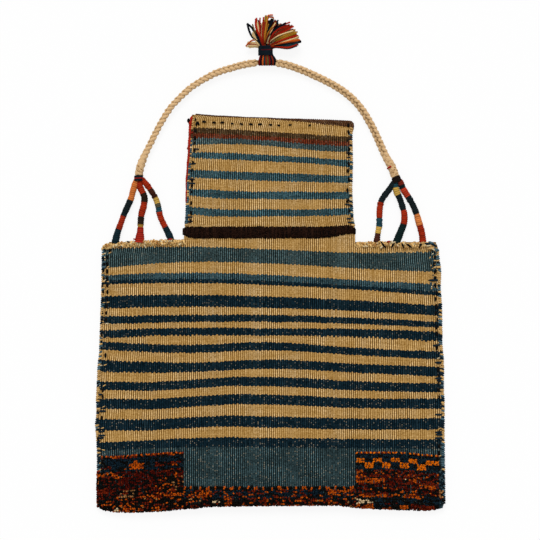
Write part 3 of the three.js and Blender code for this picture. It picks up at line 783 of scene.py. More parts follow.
# Below this height the pile spreads over the overcast sides, out to the edges of the fold.
SPREAD_TOP = -252
FOLD_EDGE = 190.2
FOLD_TURN = (0.2, 2.1)
# The dyes of the knots, and the mixes in which the motifs take them: names, then the share of each.
PILE_DYES = {
    "orange": dye(0xB04C0A),
    "bright": dye(0xCE6608),
    "rust": dye(0x661E0A),
    "dark_red": dye(0x460E06),
    "navy": dye(0x10202A),
    "black": dye(0x100E0C),
    "cream": dye(0xC9AE86),
    "tan": dye(0x96683C),
    "slate": dye(0x34484E),
}
EMBERS = (["orange", "rust", "black"], [0.68, 0.2, 0.12])
GLOWING = (["orange", "rust", "black"], [0.42, 0.28, 0.3])
SOOT = (["black", "dark_red", "rust", "orange"], [0.58, 0.25, 0.12, 0.05])
WINE = (["dark_red", "black", "rust"], [0.55, 0.33, 0.12])
RUSSET = (["rust", "dark_red", "black", "orange"], [0.32, 0.22, 0.39, 0.07])
SCORCHED = (["black", "rust", "orange", "tan"], [0.64, 0.21, 0.12, 0.03])
THREADBARE = (["navy", "black", "rust", "orange"], [0.4, 0.34, 0.17, 0.09])
NIGHT = (["navy", "black"], [0.65, 0.35])
DUSKY = (["black", "navy"], [0.65, 0.35])
IVORY = (["cream", "black"], [0.7, 0.3])
FADED = (["black", "tan", "rust"], [0.42, 0.33, 0.25])
MADDER = (["rust", "dark_red", "black"], [0.5, 0.4, 0.1])
SEAM = (["navy", "slate", "black"], [0.45, 0.33, 0.22])
RING = (["tan", "black", "rust"], [0.5, 0.3, 0.2])

# Each motif: its left and right end, its upper and lower end below the block's top, and its mix of yarns.
# A knot takes the first motif that it lies in.
RIGHT_MOTIFS = [
    (-9, 200, 3, 5.7, NIGHT), (1, 9, 19, 33, EMBERS), (9, 31, 28, 33, EMBERS), (54.5, 57, 28, 30.5, IVORY),
    (63, 67, 27, 31, EMBERS), (71, 88, 33, 37, EMBERS), (88, 93, 32, 36, EMBERS),
    (-9, 200, 16.5, 18.5, NIGHT), (-9, 200, 18.5, 22, SOOT), (-9, 200, 22, 34, RUSSET),
    (-9, 200, 34, 46, SOOT), (-9, 76, 46, 49.5, GLOWING), (1, 20, 51, 55.5, IVORY),
    (61.5, 88, 55, 66, MADDER), (32, 47, 55, 57.5, WINE), (29.7, 42, 59.5, 66, EMBERS),
    (48.4, 58, 57, 61.5, EMBERS), (-9, 20, 55, 80, GLOWING), (-9, 200, 49.5, 80, DUSKY),
]
LEFT_MOTIFS = [
    (31, 48.5, 9, 15.5, EMBERS), (36, 41.5, 5, 9, EMBERS), (26, 28.5, 13, 15, EMBERS), (1, 12, 11, 13, WINE),
    (60, 83, 9.5, 13, RUSSET), (83, 89, 8, 11, RUSSET), (-9, 200, 2.4, 16, NIGHT), (-9, 200, 16, 19, SOOT),
    (-9, 27, 19, 24, GLOWING), (81, 84, 20, 24, EMBERS), (-9, 200, 19, 24, WINE), (20, 38, 24, 36, WINE),
    (48, 53, 26, 30, RUSSET), (76, 79, 32, 46, GLOWING), (65, 200, 24, 36, SCORCHED), (-9, 17, 36, 48, WINE),
    (20, 45, 38, 46, FADED), (-9, 65, 24, 45, SOOT), (42, 96, 43.5, 47.5, EMBERS), (12, 25, 50, 53, FADED),
    (6, 10, 51, 59, FADED), (15, 20, 56, 59, IVORY), (23, 38, 53, 60, GLOWING),
]
STRIP_MOTIFS = [
    (-83, -64, 4, 10.5, GLOWING), (62, 95, 2.7, 5, EMBERS), (62, 95, 7, 9.3, EMBERS),
    (-64.5, -55.5, 13, 17.6, IVORY), (-99, 99, 2.7, 11.5, THREADBARE),
]

# The strip opens with a row of dashes, and so does each block: depth of the row, pitch, length of a dash.
STRIP_DASHES = (2.7, 8.8, 3.3)
BLOCK_DASHES = (1.5, 4.8, 3)
DASH_GROUND = (["rust", "black"], [0.8, 0.2])
# Two rows of small squares on the right block, the lower row set between the upper: the depths of each row
# and where its first square starts. The upper row ends in one long square, and the lower row stops short.
SQUARE = 9.3
SQUARE_PITCH = 19.5
UPPER_SQUARES = (5.7, 11)
UPPER_START = 1
LONG_SQUARE = 77
LOWER_SQUARES = (11, 16.5)
LOWER_START = 10.3
LOWER_END = 80
# The knots on the right side are a dark seam with one tan ring, between these depths.
RING_ROWS = (38, 48)
# Knots of one dye often come two or three in a row, and these runs start elsewhere in each row.
RUN_WIDTH = 5.0
RUN_SHIFT = 0.37
STRAY_KNOTS = 0.25
run_luck = luck.uniform(size=(60, 90))


def in_strip(x):
    return abs(x - NECK_SHIFT) < neck_half(0)


def block_top(x):
    return BLOCK_TOP - 5 * ease(-x, 95, 190) - 4 * ease(x, 135, 188)


def mottle(names, weights, chance=None):
    """One of the names, by their weights."""
    chance = luck.uniform() if chance is None else chance
    return names[min(np.searchsorted(np.cumsum(weights), chance), len(names) - 1)]


def motif_mix(motifs, across, down, ground):
    for left, right, upper, lower, mix in motifs:
        if left < across < right and upper < down < lower:
            return mix
    return ground


def in_square(across, down):
    """Whether a knot of the right block lies in one of its small squares."""
    if UPPER_SQUARES[0] < down < UPPER_SQUARES[1]:
        return across > LONG_SQUARE or (across - UPPER_START) % SQUARE_PITCH < SQUARE
    if LOWER_SQUARES[0] < down < LOWER_SQUARES[1]:
        return across < LOWER_END and (across - LOWER_START) % SQUARE_PITCH < SQUARE
    return False


def knot_dye(x, down):
    """The dye of the knot at a place across, that far below the top of the pile."""
    row = int(down / KNOT_DOWN)
    run = int((x + FOLD_EDGE) / RUN_WIDTH + row * RUN_SHIFT)
    run_chance = run_luck[row % len(run_luck)][run % len(run_luck[0])]
    chance = luck.uniform() if luck.uniform() < STRAY_KNOTS else run_chance
    if in_strip(x):
        depth, pitch, dash = STRIP_DASHES
        if down < depth:
            return "orange" if x % pitch < dash else "black"
        return mottle(*motif_mix(STRIP_MOTIFS, x, down, SCORCHED), chance)
    if x > PILE_RIGHT:
        return mottle(*(RING if RING_ROWS[0] < down < RING_ROWS[1] else SEAM))
    across = x - NECK_SHIFT - neck_half(0) if x > 0 else x - PILE_LEFT
    depth, pitch, dash = BLOCK_DASHES
    if down < depth and across % pitch < dash:
        return "bright" if x > 0 else "orange"
    if down < depth:
        return mottle(*DASH_GROUND)
    if x < 0:
        return mottle(*motif_mix(LEFT_MOTIFS, across, down, SCORCHED), chance)
    if in_square(across, down):
        return "bright"
    return mottle(*motif_mix(RIGHT_MOTIFS, across, down, NIGHT), chance)


def tuft(root, outward, lean):
    """One knot's tuft, which stands outward and leans over."""
    drift = np.array([luck.normal(0, 0.5), 0, 0])
    length = luck.uniform(0.75, 1.2)
    girth = luck.uniform(0.75, 1.15)
    path = np.array([root + outward * out * length + lean * over + drift * over for out, over, _ in TUFT])
    radius = np.array([thickness for _, _, thickness in TUFT]) * girth
    path[:, 2] = np.maximum(path[:, 2], radius)
    points, faces = tube(path, radius, 4)
    points[:, 0] = root[0] + (points[:, 0] - root[0]) * KNOT_WIDENING
    return points, faces


pile = Bundle()
for x in np.arange(-FOLD_EDGE, FOLD_EDGE, KNOT_ACROSS):
    top = STRIP_TOP + wander(x, 0.5, 17) if in_strip(x) else block_top(x)
    foot = fold_height(x)
    for y in np.arange(top, foot, -KNOT_DOWN):
        if PILE_LEFT < x < PILE_RIGHT or y < SPREAD_TOP:
            place = np.array([x + luck.normal(0, 0.3), y + luck.normal(0, 0.25), front_top(x, y)])
            knot = tuft(place, np.array([0, 0, 1.0]), np.array([0, -1.0, 0]))
            pile.add(knot, vary(PILE_DYES[knot_dye(x, top - y)], 0.3))
    reach = fold_radius(x) + CLOTH / 2
    for angle in np.arange(*FOLD_TURN, KNOT_DOWN / reach):
        outward = np.array([0, -math.sin(angle), math.cos(angle)])
        lean = np.array([0, -math.cos(angle), -math.sin(angle)])
        knot = tuft(around_fold(x, angle, CLOTH / 2), outward, lean)
        pile.add(knot, vary(PILE_DYES[knot_dye(x, top - foot + reach * angle)], 0.3))
pile.piece("pile_tufts", dyed_wool("pile_wool", 1300.0, 0.7), "knotted_pile", "pile_border")

# The overcast sides: each side of the body is whipped shut over both layers with leftover navy, slate and
# sand yarn. Black running stitches lie beside the whipping, two rows on the left and one on the right, with
# navy mends and scraps of loose yarn among them.

WHIP_YARN = 1.1
WHIP_PITCH = 2.3
SIDE_TOP = -9
SIDE_FOOT = -289
TICK_YARN = 1.2
TICK_PITCH = 7.7
TICK_TOP = -7
# How far in each row of running stitches lies, and the share of it that is left lower down.
SIDE_TICKS = {-1: (1.6, 6.3), 1: (5.5,)}
TICKS_LEFT = {-1: 0.3, 1: 0.75}
# Each mend: its height and its length.
SIDE_MENDS = {
    -1: [(-168, 5), (-186, 9), (-209, 8), (-213, 9), (-216, 7)],
    1: [(-41.8, 12), (-113, 9), (-133, 8), (-150, 8), (-153, 6), (-190, 9), (-209, 9), (-212, 8), (-216, 9)],
}
MEND_YARN = 1.15
# How many scraps lie near the top of each side, and how far in.
SCRAPS = {-1: (14, 5), 1: (46, 9.5)}
SCRAP_SPAN = (-52, -8)
SCRAP_YARN = 0.6
SCRAP_MIX = (["slate", "sand", "cream"], [0.5, 0.35, 0.15])
TICK_END_MIX = (["sand", "cream"], [0.75, 0.25])
STITCH_ARCH = np.array([-0.4, 0.55, 0.8, 0.55, -0.4])
STITCH_TAPER = np.array([0.6, 1, 1, 1, 0.6])
STITCH_DYES = {
    "navy": dye(0x14242E),
    "slate": dye(0x46606A),
    "sand": dye(0xC29C62),
    "black": dye(0x12100F),
    "blue": dye(0x34525E),
    "brown": dye(0x4A3524),
    "rust": dye(0x7E2A1C),
    "cream": dye(0xD4C098),
    "red": dye(0x9C2416),
    "orange": dye(0xB4602A),
    "tan": dye(0xAC7A42),
}
# The mix of stitches over the end of each stripe.
STRIPE_STITCHES = {
    "sand": (["sand", "navy", "slate"], [0.79, 0.08, 0.13]),
    "slate": (["slate", "navy", "sand"], [0.6, 0.24, 0.16]),
    "navy": (["navy", "slate", "sand"], [0.5, 0.34, 0.16]),
    "panel": (["slate", "navy", "sand"], [0.55, 0.35, 0.1]),
    "blue": (["blue", "slate", "sand"], [0.6, 0.25, 0.15]),
    "dusk": (["slate", "navy", "sand"], [0.55, 0.3, 0.15]),
    "mist": (["blue", "slate", "sand"], [0.5, 0.35, 0.15]),
    "brown": (["brown", "sand"], [0.7, 0.3]),
    "rust": (["rust", "brown"], [0.7, 0.3]),
}
BEADS = (["rust", "orange", "black"], [0.4, 0.25, 0.35])
DARK_EDGE = (["navy", "slate", "black"], [0.45, 0.3, 0.25])


def edge_heights(edges, side):
    """The stripes that end at one side edge, from the top down: upper height and yarn."""
    return [(height + stray_at(stray, side), yarn) for height, stray, yarn in edges]


def yarn_at(heights, y):
    above = [yarn for height, yarn in heights if height >= y]
    return above[-1] if above else heights[0][1]


def whip(edge, side, y, reach, slant):
    """One stitch over an edge, from the front round to the back."""
    sunk = edge - side * reach
    halfway = edge - side * reach / 2
    top = front_top(edge, y)
    girth = WHIP_YARN * luck.uniform(0.85, 1.15)
    path = smooth_path([
        (sunk, y + slant, front_top(sunk, y) - 0.2),
        (halfway, y + slant * 0.6, front_top(halfway, y) + girth * 0.6),
        (edge - side * 0.4, y, top + girth * 0.3),
        (edge + side * 0.15, y - slant * 0.3, top / 2),
        (edge - side * 0.4, y - slant * 0.5, girth),
        (edge - side * 3, y - slant, girth),
    ], 1.3)
    path[:, 2] = np.maximum(path[:, 2], girth)
    return tube(path, girth)


def stitch(start, end, radius, lift=0.0):
    """A short stitch on the front, with both ends sunk in the weave."""
    points = np.linspace(start, end, len(STITCH_ARCH))
    path = np.array([(x, y, front_top(x, y) + lift) for x, y in points])
    path[:, 2] += STITCH_ARCH * radius
    return tube(path, STITCH_TAPER * radius * luck.uniform(0.85, 1.15))


def sew(bundle, start, end, radius, yarn, lift=0.0):
    """Adds a short stitch, in one yarn by its name or in one drawn from a mix."""
    thread = stitch(start, end, radius, lift)
    name = yarn if isinstance(yarn, str) else mottle(*yarn)
    bundle.add(thread, vary(STITCH_DYES[name]))


stitch_wool = dyed_wool("stitch_wool", 1500.0, 0.6)
for name, side in (("left", -1), ("right", 1)):
    whipping = Bundle()
    heights = edge_heights(body_edges, side)
    for y in np.arange(SIDE_TOP, SIDE_FOOT, -WHIP_PITCH):
        mix = STRIPE_STITCHES[yarn_at(heights, y)]
        if y < SPREAD_TOP:
            mix = BEADS if side < 0 else DARK_EDGE
        line = whip(body_edge(side, y), side, y, luck.uniform(2, 3.6), luck.uniform(-0.4, 1.6))
        whipping.add(line, vary(STITCH_DYES[mottle(*mix)]))
    for inset in SIDE_TICKS[side]:
        for y in np.arange(TICK_TOP, SPREAD_TOP, -TICK_PITCH):
            x = body_edge(side, y) - side * (inset + luck.normal(0, 0.35))
            if luck.uniform() < lerp(1, TICKS_LEFT[side], ease(-y, 40, 150)):
                end = (x + luck.normal(0, 0.6), y - luck.uniform(3.2, 5))
                sew(whipping, (x, y), end, TICK_YARN, "black")
            if luck.uniform() < 0.6 and yarn_at(heights, y) != "sand":
                end = (x + luck.uniform(1.8, 3), y - 5 + luck.normal(0, 0.7))
                sew(whipping, (x - 1, y - 5.8), end, SCRAP_YARN, TICK_END_MIX)
    for y, length in SIDE_MENDS[side]:
        x = body_edge(side, y) - side
        sew(whipping, (x, y), (x - side * length, y + luck.normal(0, 0.5)), MEND_YARN, "navy")
    number, depth = SCRAPS[side]
    for _ in range(number):
        y = luck.uniform(*SCRAP_SPAN)
        x = body_edge(side, y) - side * luck.uniform(0.5, depth)
        end = (x + luck.uniform(-2.6, 2.6), y + luck.uniform(-2, 2))
        sew(whipping, (x, y), end, SCRAP_YARN, SCRAP_MIX)
    whipping.piece("side_whipping_" + name, stitch_wool, "overcast_yarn", "side_overcast_" + name)

# The overcast neck: its sides are whipped shut in the same way, in yarns close to the stripes, with a row of
# black running stitches a little way in and a few long dark ones where it was mended.

NECK_STITCH_FOOT = 18
NECK_STITCH_TOP = {-1: 136, 1: 124.5}
NECK_TICK_INSET = {-1: 5.3, 1: 4.4}
# Above this height the stitches follow the stripes.
PLAIN_FOOT = 114
NECK_MIXES = {
    -1: (["blue", "slate", "sand", "cream"], [0.44, 0.22, 0.28, 0.06]),
    1: (["sand", "blue", "navy", "cream"], [0.48, 0.26, 0.18, 0.08]),
}
NECK_TICKS = {
    -1: (122, 114.5, 109, 101, 87, 79, 68, 61.5, 55, 43, 32, 23),
    1: (128.7, 121, 112.2, 102.3, 97.4, 86.4, 78.7, 69.3, 57.2, 45.7, 34.1),
}
# Each mend: where it starts, and its length.
NECK_MENDS = {
    -1: [
        (-84, 102.3, 5.5), (-88.5, 85.8, 6.5), (-92, 69.3, 9), (-92, 65, 10), (-94, 27, 8.5), (-94.5, 22, 9),
    ],
    1: [(89, 98, 6), (89, 93.5, 5), (89, 40.7, 7), (90.5, 26, 7), (91, 21, 6)],
}
NECK_MEND_YARN = 0.95

for name, side in (("left", -1), ("right", 1)):
    whipping = Bundle()
    heights = edge_heights(neck_edges, side)
    for y in np.arange(NECK_STITCH_TOP[side], NECK_STITCH_FOOT, -WHIP_PITCH):
        yarn = mottle(*(NECK_MIXES[side] if y < PLAIN_FOOT else STRIPE_STITCHES[yarn_at(heights, y)]))
        line = whip(neck_edge(side, y), side, y, luck.uniform(1.8, 3.2), luck.uniform(-0.3, 1.2))
        whipping.add(line, vary(STITCH_DYES[yarn]))
    for y in NECK_TICKS[side]:
        x = neck_edge(side, y) - side * NECK_TICK_INSET[side] + luck.normal(0, 0.4)
        end = (x + luck.normal(0, 0.5), y - luck.uniform(1.4, 2.6))
        sew(whipping, (x, y + 2), end, TICK_YARN, "black")
    for x, y, length in NECK_MENDS[side]:
        sew(whipping, (x, y), (x - side * length, y + luck.normal(0, 0.8)), NECK_MEND_YARN, "navy")
    whipping.piece("neck_whipping_" + name, stitch_wool, "overcast_yarn", "neck_overcast_" + name)

# The shoulder edging: two thick sand yarns looped over and over along the top of each shoulder, which close
# it and hold the feet of the legs. Small knots of sand wool and odd ends of black, navy, cream and red yarn
# are caught in it.

EDGING_YARN = 1.2
EDGING_PITCH = 3.1
EDGING_HALF = 2.2
EDGING_REST = 4.3
EDGING_DEPTH = 2.8
EDGING_SLANT = 0.9
EDGING_LINES = {
    "left": [
        (-184.4, -6.6), (-181.5, -5), (-176, -4.3), (-160, -2.4), (-135, -1.2), (-120, -0.5), (-95.5, -0.4),
    ],
    "right": [(92.5, -3.2), (110, -2.7), (135, -2.5), (150, -3.8), (168, -2.8), (177, -3.6), (181.5, -5.4)],
}
SAND_LIT = dye(0xDEB878)
SAND_SHADE = dye(0xB48848)
KNOT_EVERY = 1.2
KNOT_YARN = 0.8
KNOT_LIFT = 2
ODD_END_LIFT = 2.2
KNOT_MIX = (["sand", "cream", "tan"], [0.62, 0.16, 0.22])

# Each odd end: its yarn, where it starts and ends, and its thickness.
ODD_ENDS = {
    "left": [
        ("navy", (-158, 0.8), (-155, -0.6), 0.8), ("cream", (-147.5, 2), (-146, -4.5), 0.8),
        ("cream", (-143, 1), (-144.5, -5), 0.7), ("cream", (-139, -3), (-137, -7), 0.7),
        ("red", (-112.5, 2.6), (-108, 3.2), 0.9), ("navy", (-168, -5.6), (-162, -5), 0.8),
        ("red", (-151, 3.4), (-146, 2.6), 1.0), ("red", (-144, 2.8), (-139, 3.6), 1.0),
    ],
    "right": [
        ("black", (121, 0.5), (127, -6.5), 1.15), ("black", (136.5, -0.8), (133, -6), 1.1),
        ("black", (144.5, -1.5), (147, -6.5), 1.1), ("black", (150, -2), (155, -6), 1.1),
        ("black", (166.5, -1.5), (163.5, -6), 1.1), ("red", (128, 0.2), (132, 0.8), 0.9),
        ("navy", (170, -1.6), (176, -2.6), 1.2), ("slate", (174, 0.2), (180, -2), 1.2),
        ("cream", (171, -4.5), (177, -3.4), 0.9), ("sand", (173, -7.5), (181, -6), 1.0),
        ("navy", (176, -1), (183, -5), 1.2), ("cream", (175, -6), (182, -9.5), 0.9),
        ("slate", (180, -6), (183.5, -11), 1.1), ("cream", (104, -4), (107, -5), 0.9),
        ("cream", (123.5, -4.5), (120.5, -7), 0.9), ("cream", (139, -2.5), (141, -5), 0.8),
    ],
}

for name, line in EDGING_LINES.items():
    start = line[0][0]
    end = line[-1][0]
    edging = Bundle()
    for tilt in (-1, 1):
        angle = np.arange(0, (end - start) / EDGING_PITCH * 2 * math.pi, 0.45)
        turn = angle + tilt * math.pi / 2
        x = start + angle / (2 * math.pi) * EDGING_PITCH + wander(angle, 0.6, 9)
        x = x + tilt * EDGING_SLANT * np.cos(turn)
        swell = 1 + wander(x, 0.17, 1.9) + luck.normal(0, 0.12, len(x))
        y = edge_place(line, x) + wander(x, 0.3, 2.9) + EDGING_HALF * swell * np.cos(turn)
        girth = EDGING_YARN * (1 + wander(x, 0.08, 3))
        z = np.maximum(EDGING_REST + EDGING_DEPTH * swell * np.sin(turn), girth)
        # Painted light and shade: each loop is painted a lighter sand on its top and a darker sand
        # underneath.
        lit = ease(np.sin(turn), -0.2, 0.9)[:, None]
        tone = 1 + wander(x, 0.17, 1.7)[:, None] + luck.normal(0, 0.2, (len(x), 1))
        colours = lerp(np.array(SAND_SHADE), np.array(SAND_LIT), lit) * tone
        edging.add(tube(np.stack([x, y, z], axis=-1), girth), colours)
    for x in np.arange(start + 2, end - 2, KNOT_EVERY):
        y = edge_place(line, x) + luck.normal(0.3, 1.5)
        reach = luck.uniform(-1.5, 1.5, 2)
        sew(edging, (x, y) - reach, (x, y) + reach, KNOT_YARN, KNOT_MIX, KNOT_LIFT)
    for yarn, first, last, radius in ODD_ENDS[name]:
        sew(edging, first, last, radius, yarn, ODD_END_LIFT)
    edging_wool = dyed_wool("edging_wool_" + name, 1300.0, 0.5)
    edging.piece("looped_edging_" + name, edging_wool, "sand_wool", "shoulder_edging_" + name)

# The mouth's running stitch: one black thread that holds down the turned edge of the front's mouth, with a
# few close stitches at its left corner, and a dark-brown yarn along that edge and round its right corner.

HEM_DEPTH = 6.9
HEM_PLACES = (-73, -62, -53, -42, -32, -21.5, -11.5, 0, 9, 21.5, 43)
HEM_STITCH = 3.6
HEM_THREAD = 1.05
CORNER_STITCHES = [
    ((-82.5, 136.2), (-82.5, 133.4), 0.8),
    ((-80.5, 132.5), (-82, 128), 1.1),
    ((-80, 132.5), (-78.5, 128.5), 1.1),
]
UMBER = dye(0x44281C)
HEM_YARN = 0.95


def mouth_edge(x):
    return NECK_HEIGHT + stray_at(MOUTH_STRAY, x / neck_half(NECK_HEIGHT))


hem = Bundle()
for x in HEM_PLACES:
    y = mouth_edge(x) - HEM_DEPTH + luck.normal(0, 0.3)
    half = HEM_STITCH / 2 * luck.uniform(0.75, 1.25)
    sew(hem, (x - half, y), (x + half, y + luck.normal(0, 0.7)), HEM_THREAD, "black")
for first, last, radius in CORNER_STITCHES:
    sew(hem, first, last, radius, "black")
mouth_x = np.arange(-82, 85, 1.5)
corner_y = np.arange(132.6, 124, -1.2)
edge_x = np.concatenate([mouth_x, neck_edge(1, corner_y)])
edge_y = np.concatenate([mouth_edge(mouth_x), corner_y]) + wander(edge_x, 0.12, 6)
edge_line = np.stack([edge_x, edge_y, front_top(edge_x, edge_y) - HEM_YARN], axis=-1)
hem.add(tube(edge_line, HEM_YARN, plies=2, lay=5.0), [vary(UMBER, 0.25) for _ in edge_x])
hem.piece("mouth_running_stitch", stitch_wool, "dark_brown_wool", "mouth_hem_thread")

# The red piping: a thin two-ply red cord sewn along the upper left edge of the neck, thinner towards its
# foot, with a big red and black knob at its head and a small one a third of the way down.

PIPING_TOP = 138
PIPING_FOOT = 42
PIPING_RADIUS = 1.4
PIPING_RISE = 7.6
PIPING_OUT = 0.6
# Each lump of a knob: its yarn, its height, how far in it lies, its thickness and half its length.
KNOBS = [
    ("black", 133.5, -2.4, 1.6, 2.4), ("red", 135.6, 0.2, 1.7, 1.6), ("red", 130.6, -0.1, 1.9, 2.8),
    ("rust", 103, -0.9, 1.5, 1.1),
]

piping = Bundle()
piping_y = np.arange(PIPING_TOP, PIPING_FOOT, -1.2)
piping_x = neck_edge(-1, piping_y) - PIPING_OUT + wander(piping_y, 0.25, 7)
piping_line = np.stack([piping_x, piping_y, np.full_like(piping_x, PIPING_RISE)], axis=-1)
thinning = lerp(0.5, 1, ease(piping_y, 55, 105)) + wander(piping_y, 0.1, 3)
piping_cord = tube(piping_line, PIPING_RADIUS * thinning, 8, plies=2, lay=6.0)
piping.add(piping_cord, [vary(STITCH_DYES["red"], 0.3) for _ in piping_y])
for yarn, y, inward, radius, half in KNOBS:
    x = neck_edge(-1, y) - PIPING_OUT + inward
    share = np.linspace(-1, 1, 7)
    line = np.stack([x + 0 * share, y + half * share, PIPING_RISE + 0.8 - share * share], axis=-1)
    piping.add(tube(line, radius * np.sqrt(1.1 - share * share), 8), vary(STITCH_DYES[yarn]))
piping.piece("red_piping", dyed_wool("red_wool", 1400.0, 0.5), "red_wool", "neck_piping_left")

# The carrying cord: a flat plait of three cream wool strands, laid in an arch. It lies on its edge at the
# left and rolls flat to the right, is pinched under the tassel, and is felted together at each end. A red
# stitch crosses its right end.

BRAID_STRAND = 2.05
BRAID_SPREAD = 2.3
BRAID_DEPTH = 1.2
BRAID_CYCLE = 16.8
BRAID_ROLL = (1.15, -0.35)
BRAID_REST = 4.3
TASSEL_LIFT = 2.4
BRAID_SIDES = 12
FELTED = 34
FELTED_SPREAD = 0.35
FELTED_GIRTH = 1.8
PINCHED = 0.6
CREAM = dye(0xD6B284)
CREAM_VALLEY_SHADE = dye(0x6A4818)
CREAM_SPECK = dye(0x7A5226)
RED_YARN = 0.9
RED_STITCH = [(128.8, 80.8, 5.5), (130.2, 82, 8.4), (132.4, 83.2, 9.4)]
BRAID_ROUTE = [
    (-145, 73.5), (-144.4, 79), (-142.4, 86), (-139.8, 93), (-131.6, 110), (-122.7, 127.6), (-112.2, 145.2),
    (-100.7, 158.4), (-85.8, 171.6), (-63.3, 184.8), (-44, 191.6), (-24, 196.4), (-5.5, 198), (13, 196.4),
    (29, 191.6), (45.7, 184.8), (72, 171.6), (89.7, 158.4), (101.2, 145.2), (111.7, 127.6), (119.9, 110),
    (127.6, 93), (132.4, 85), (135.8, 77), (137.4, 72.1),
]
TASSEL_POINT = (-5.5, 198)


def path_length(path):
    return float(np.linalg.norm(np.diff(path, axis=0), axis=1).sum())


def braid_height(x, y):
    away = math.hypot(x - TASSEL_POINT[0], y - TASSEL_POINT[1])
    return BRAID_REST + TASSEL_LIFT * (1 - ease(away, 0, 40))


braid_line = smooth_path([(x, y, braid_height(x, y)) for x, y in BRAID_ROUTE], 1.0)
braid_share = np.linspace(0, 1, len(braid_line))
braid_along = braid_share * path_length(braid_line)
from_end = np.minimum(braid_along, braid_along[-1] - braid_along)
loose = ease(from_end, 8, FELTED)
from_tassel = np.hypot(braid_line[:, 0] - TASSEL_POINT[0], braid_line[:, 1] - TASSEL_POINT[1])
pinch = 1 - ease(from_tassel, 6, 14)
braid_ahead = unit(np.gradient(braid_line, axis=0))
braid_side = unit(np.cross(braid_ahead, (0, 0, 1.0)))
braid_up = np.cross(braid_side, braid_ahead)
roll = lerp(*BRAID_ROLL, ease(braid_share, 0.2, 0.75))
opened = lerp(FELTED_SPREAD, 1, loose) * (1 - PINCHED * pinch)
braid = Bundle()
for strand in range(3):
    phase = 2 * math.pi * (braid_along / BRAID_CYCLE + strand / 3)
    out = BRAID_SPREAD * np.sin(phase) * opened
    up = BRAID_DEPTH * np.sin(2 * phase) * opened
    turned_out = out * np.cos(roll) - up * np.sin(roll)
    turned_up = out * np.sin(roll) + up * np.cos(roll)
    path = braid_line + braid_side * turned_out[:, None] + braid_up * turned_up[:, None]
    girth = (BRAID_STRAND + FELTED_GIRTH * (1 - loose)) * (1 - 0.25 * pinch)
    radius = girth * (1 + wander(braid_along, 0.03, 6))
    path[:, 2] = np.maximum(path[:, 2], radius * (1 + PLY_RELIEF))
    speck = (1 - loose)[:, None] * (luck.uniform(size=(len(path), BRAID_SIDES)) > 0.8)
    points, faces = tube(path, radius, BRAID_SIDES, plies=3, lay=9.0)
    # Painted shade: on the open plait the wool is darker the nearer it lies to its middle, between the
    # strands.
    away = np.linalg.norm(points - np.repeat(braid_line, BRAID_SIDES, axis=0), axis=1)
    shaded_open_wool = lerp(np.array(CREAM_VALLEY_SHADE), np.array(CREAM), ease(away, 1.8, 3.5)[:, None])
    felted_wool = lerp(np.array(CREAM), np.array(CREAM_SPECK), speck.reshape(-1, 1))
    braid.add((points, faces), lerp(felted_wool, shaded_open_wool, np.repeat(loose, BRAID_SIDES)[:, None]))
braid.add(tube(RED_STITCH, RED_YARN), STITCH_DYES["red"])
braid_piece = braid.piece("cream_plait", dyed_wool("cream_wool", 900.0, 0.35), "cream_wool", "handle_braid")

# The legs: six thin cords, three to a shoulder, each wound all along with bands of bright wool yarn. Their
# upper ends run together under the binding of the carrying cord, and their feet are sewn to the edging.

LEG_RADIUS = 3.6
LEG_REST = 4.4
WRAP_PITCH = 2.2
TURN_STEPS = 4
LEG_SIDES = 14
WRAP_RELIEF = 0.22
WRAP_PAINTED_SHADE = 0.36
# How much thinner some legs are, and how much thicker some are at the foot.
LEG_THINNING = {"left_inner": 0.3, "right_inner": 0.25, "left_outer": 0.1}
FOOT_FLARE = {"left_middle": 1.8, "left_outer": 0.5, "left_inner": 0.6, "right_middle": 0.7}
LEG_DYES = {
    "peach": dye(0xB8662F),
    "apricot": dye(0xC4743C),
    "ink": dye(0x161E20),
    "rust": dye(0x8E2712),
    "night": dye(0x12242A),
    "red": dye(0x942912),
    "bark": dye(0x241A14),
    "chestnut": dye(0x3A1D14),
    "mustard": dye(0xC09A48),
    "ochre": dye(0x9A7430),
    "crimson": dye(0x98261A),
    "olive": dye(0x4C4836),
    "teal": dye(0x1F3F48),
    "maroon": dye(0x44241C),
    "brick": dye(0x6E2418),
    "coral": dye(0xAE3822),
    "pine": dye(0x10201F),
}
LEG_BINDING_LEFT = (-145.2, 70.2)
LEG_BINDING_RIGHT = (138.8, 68.8)
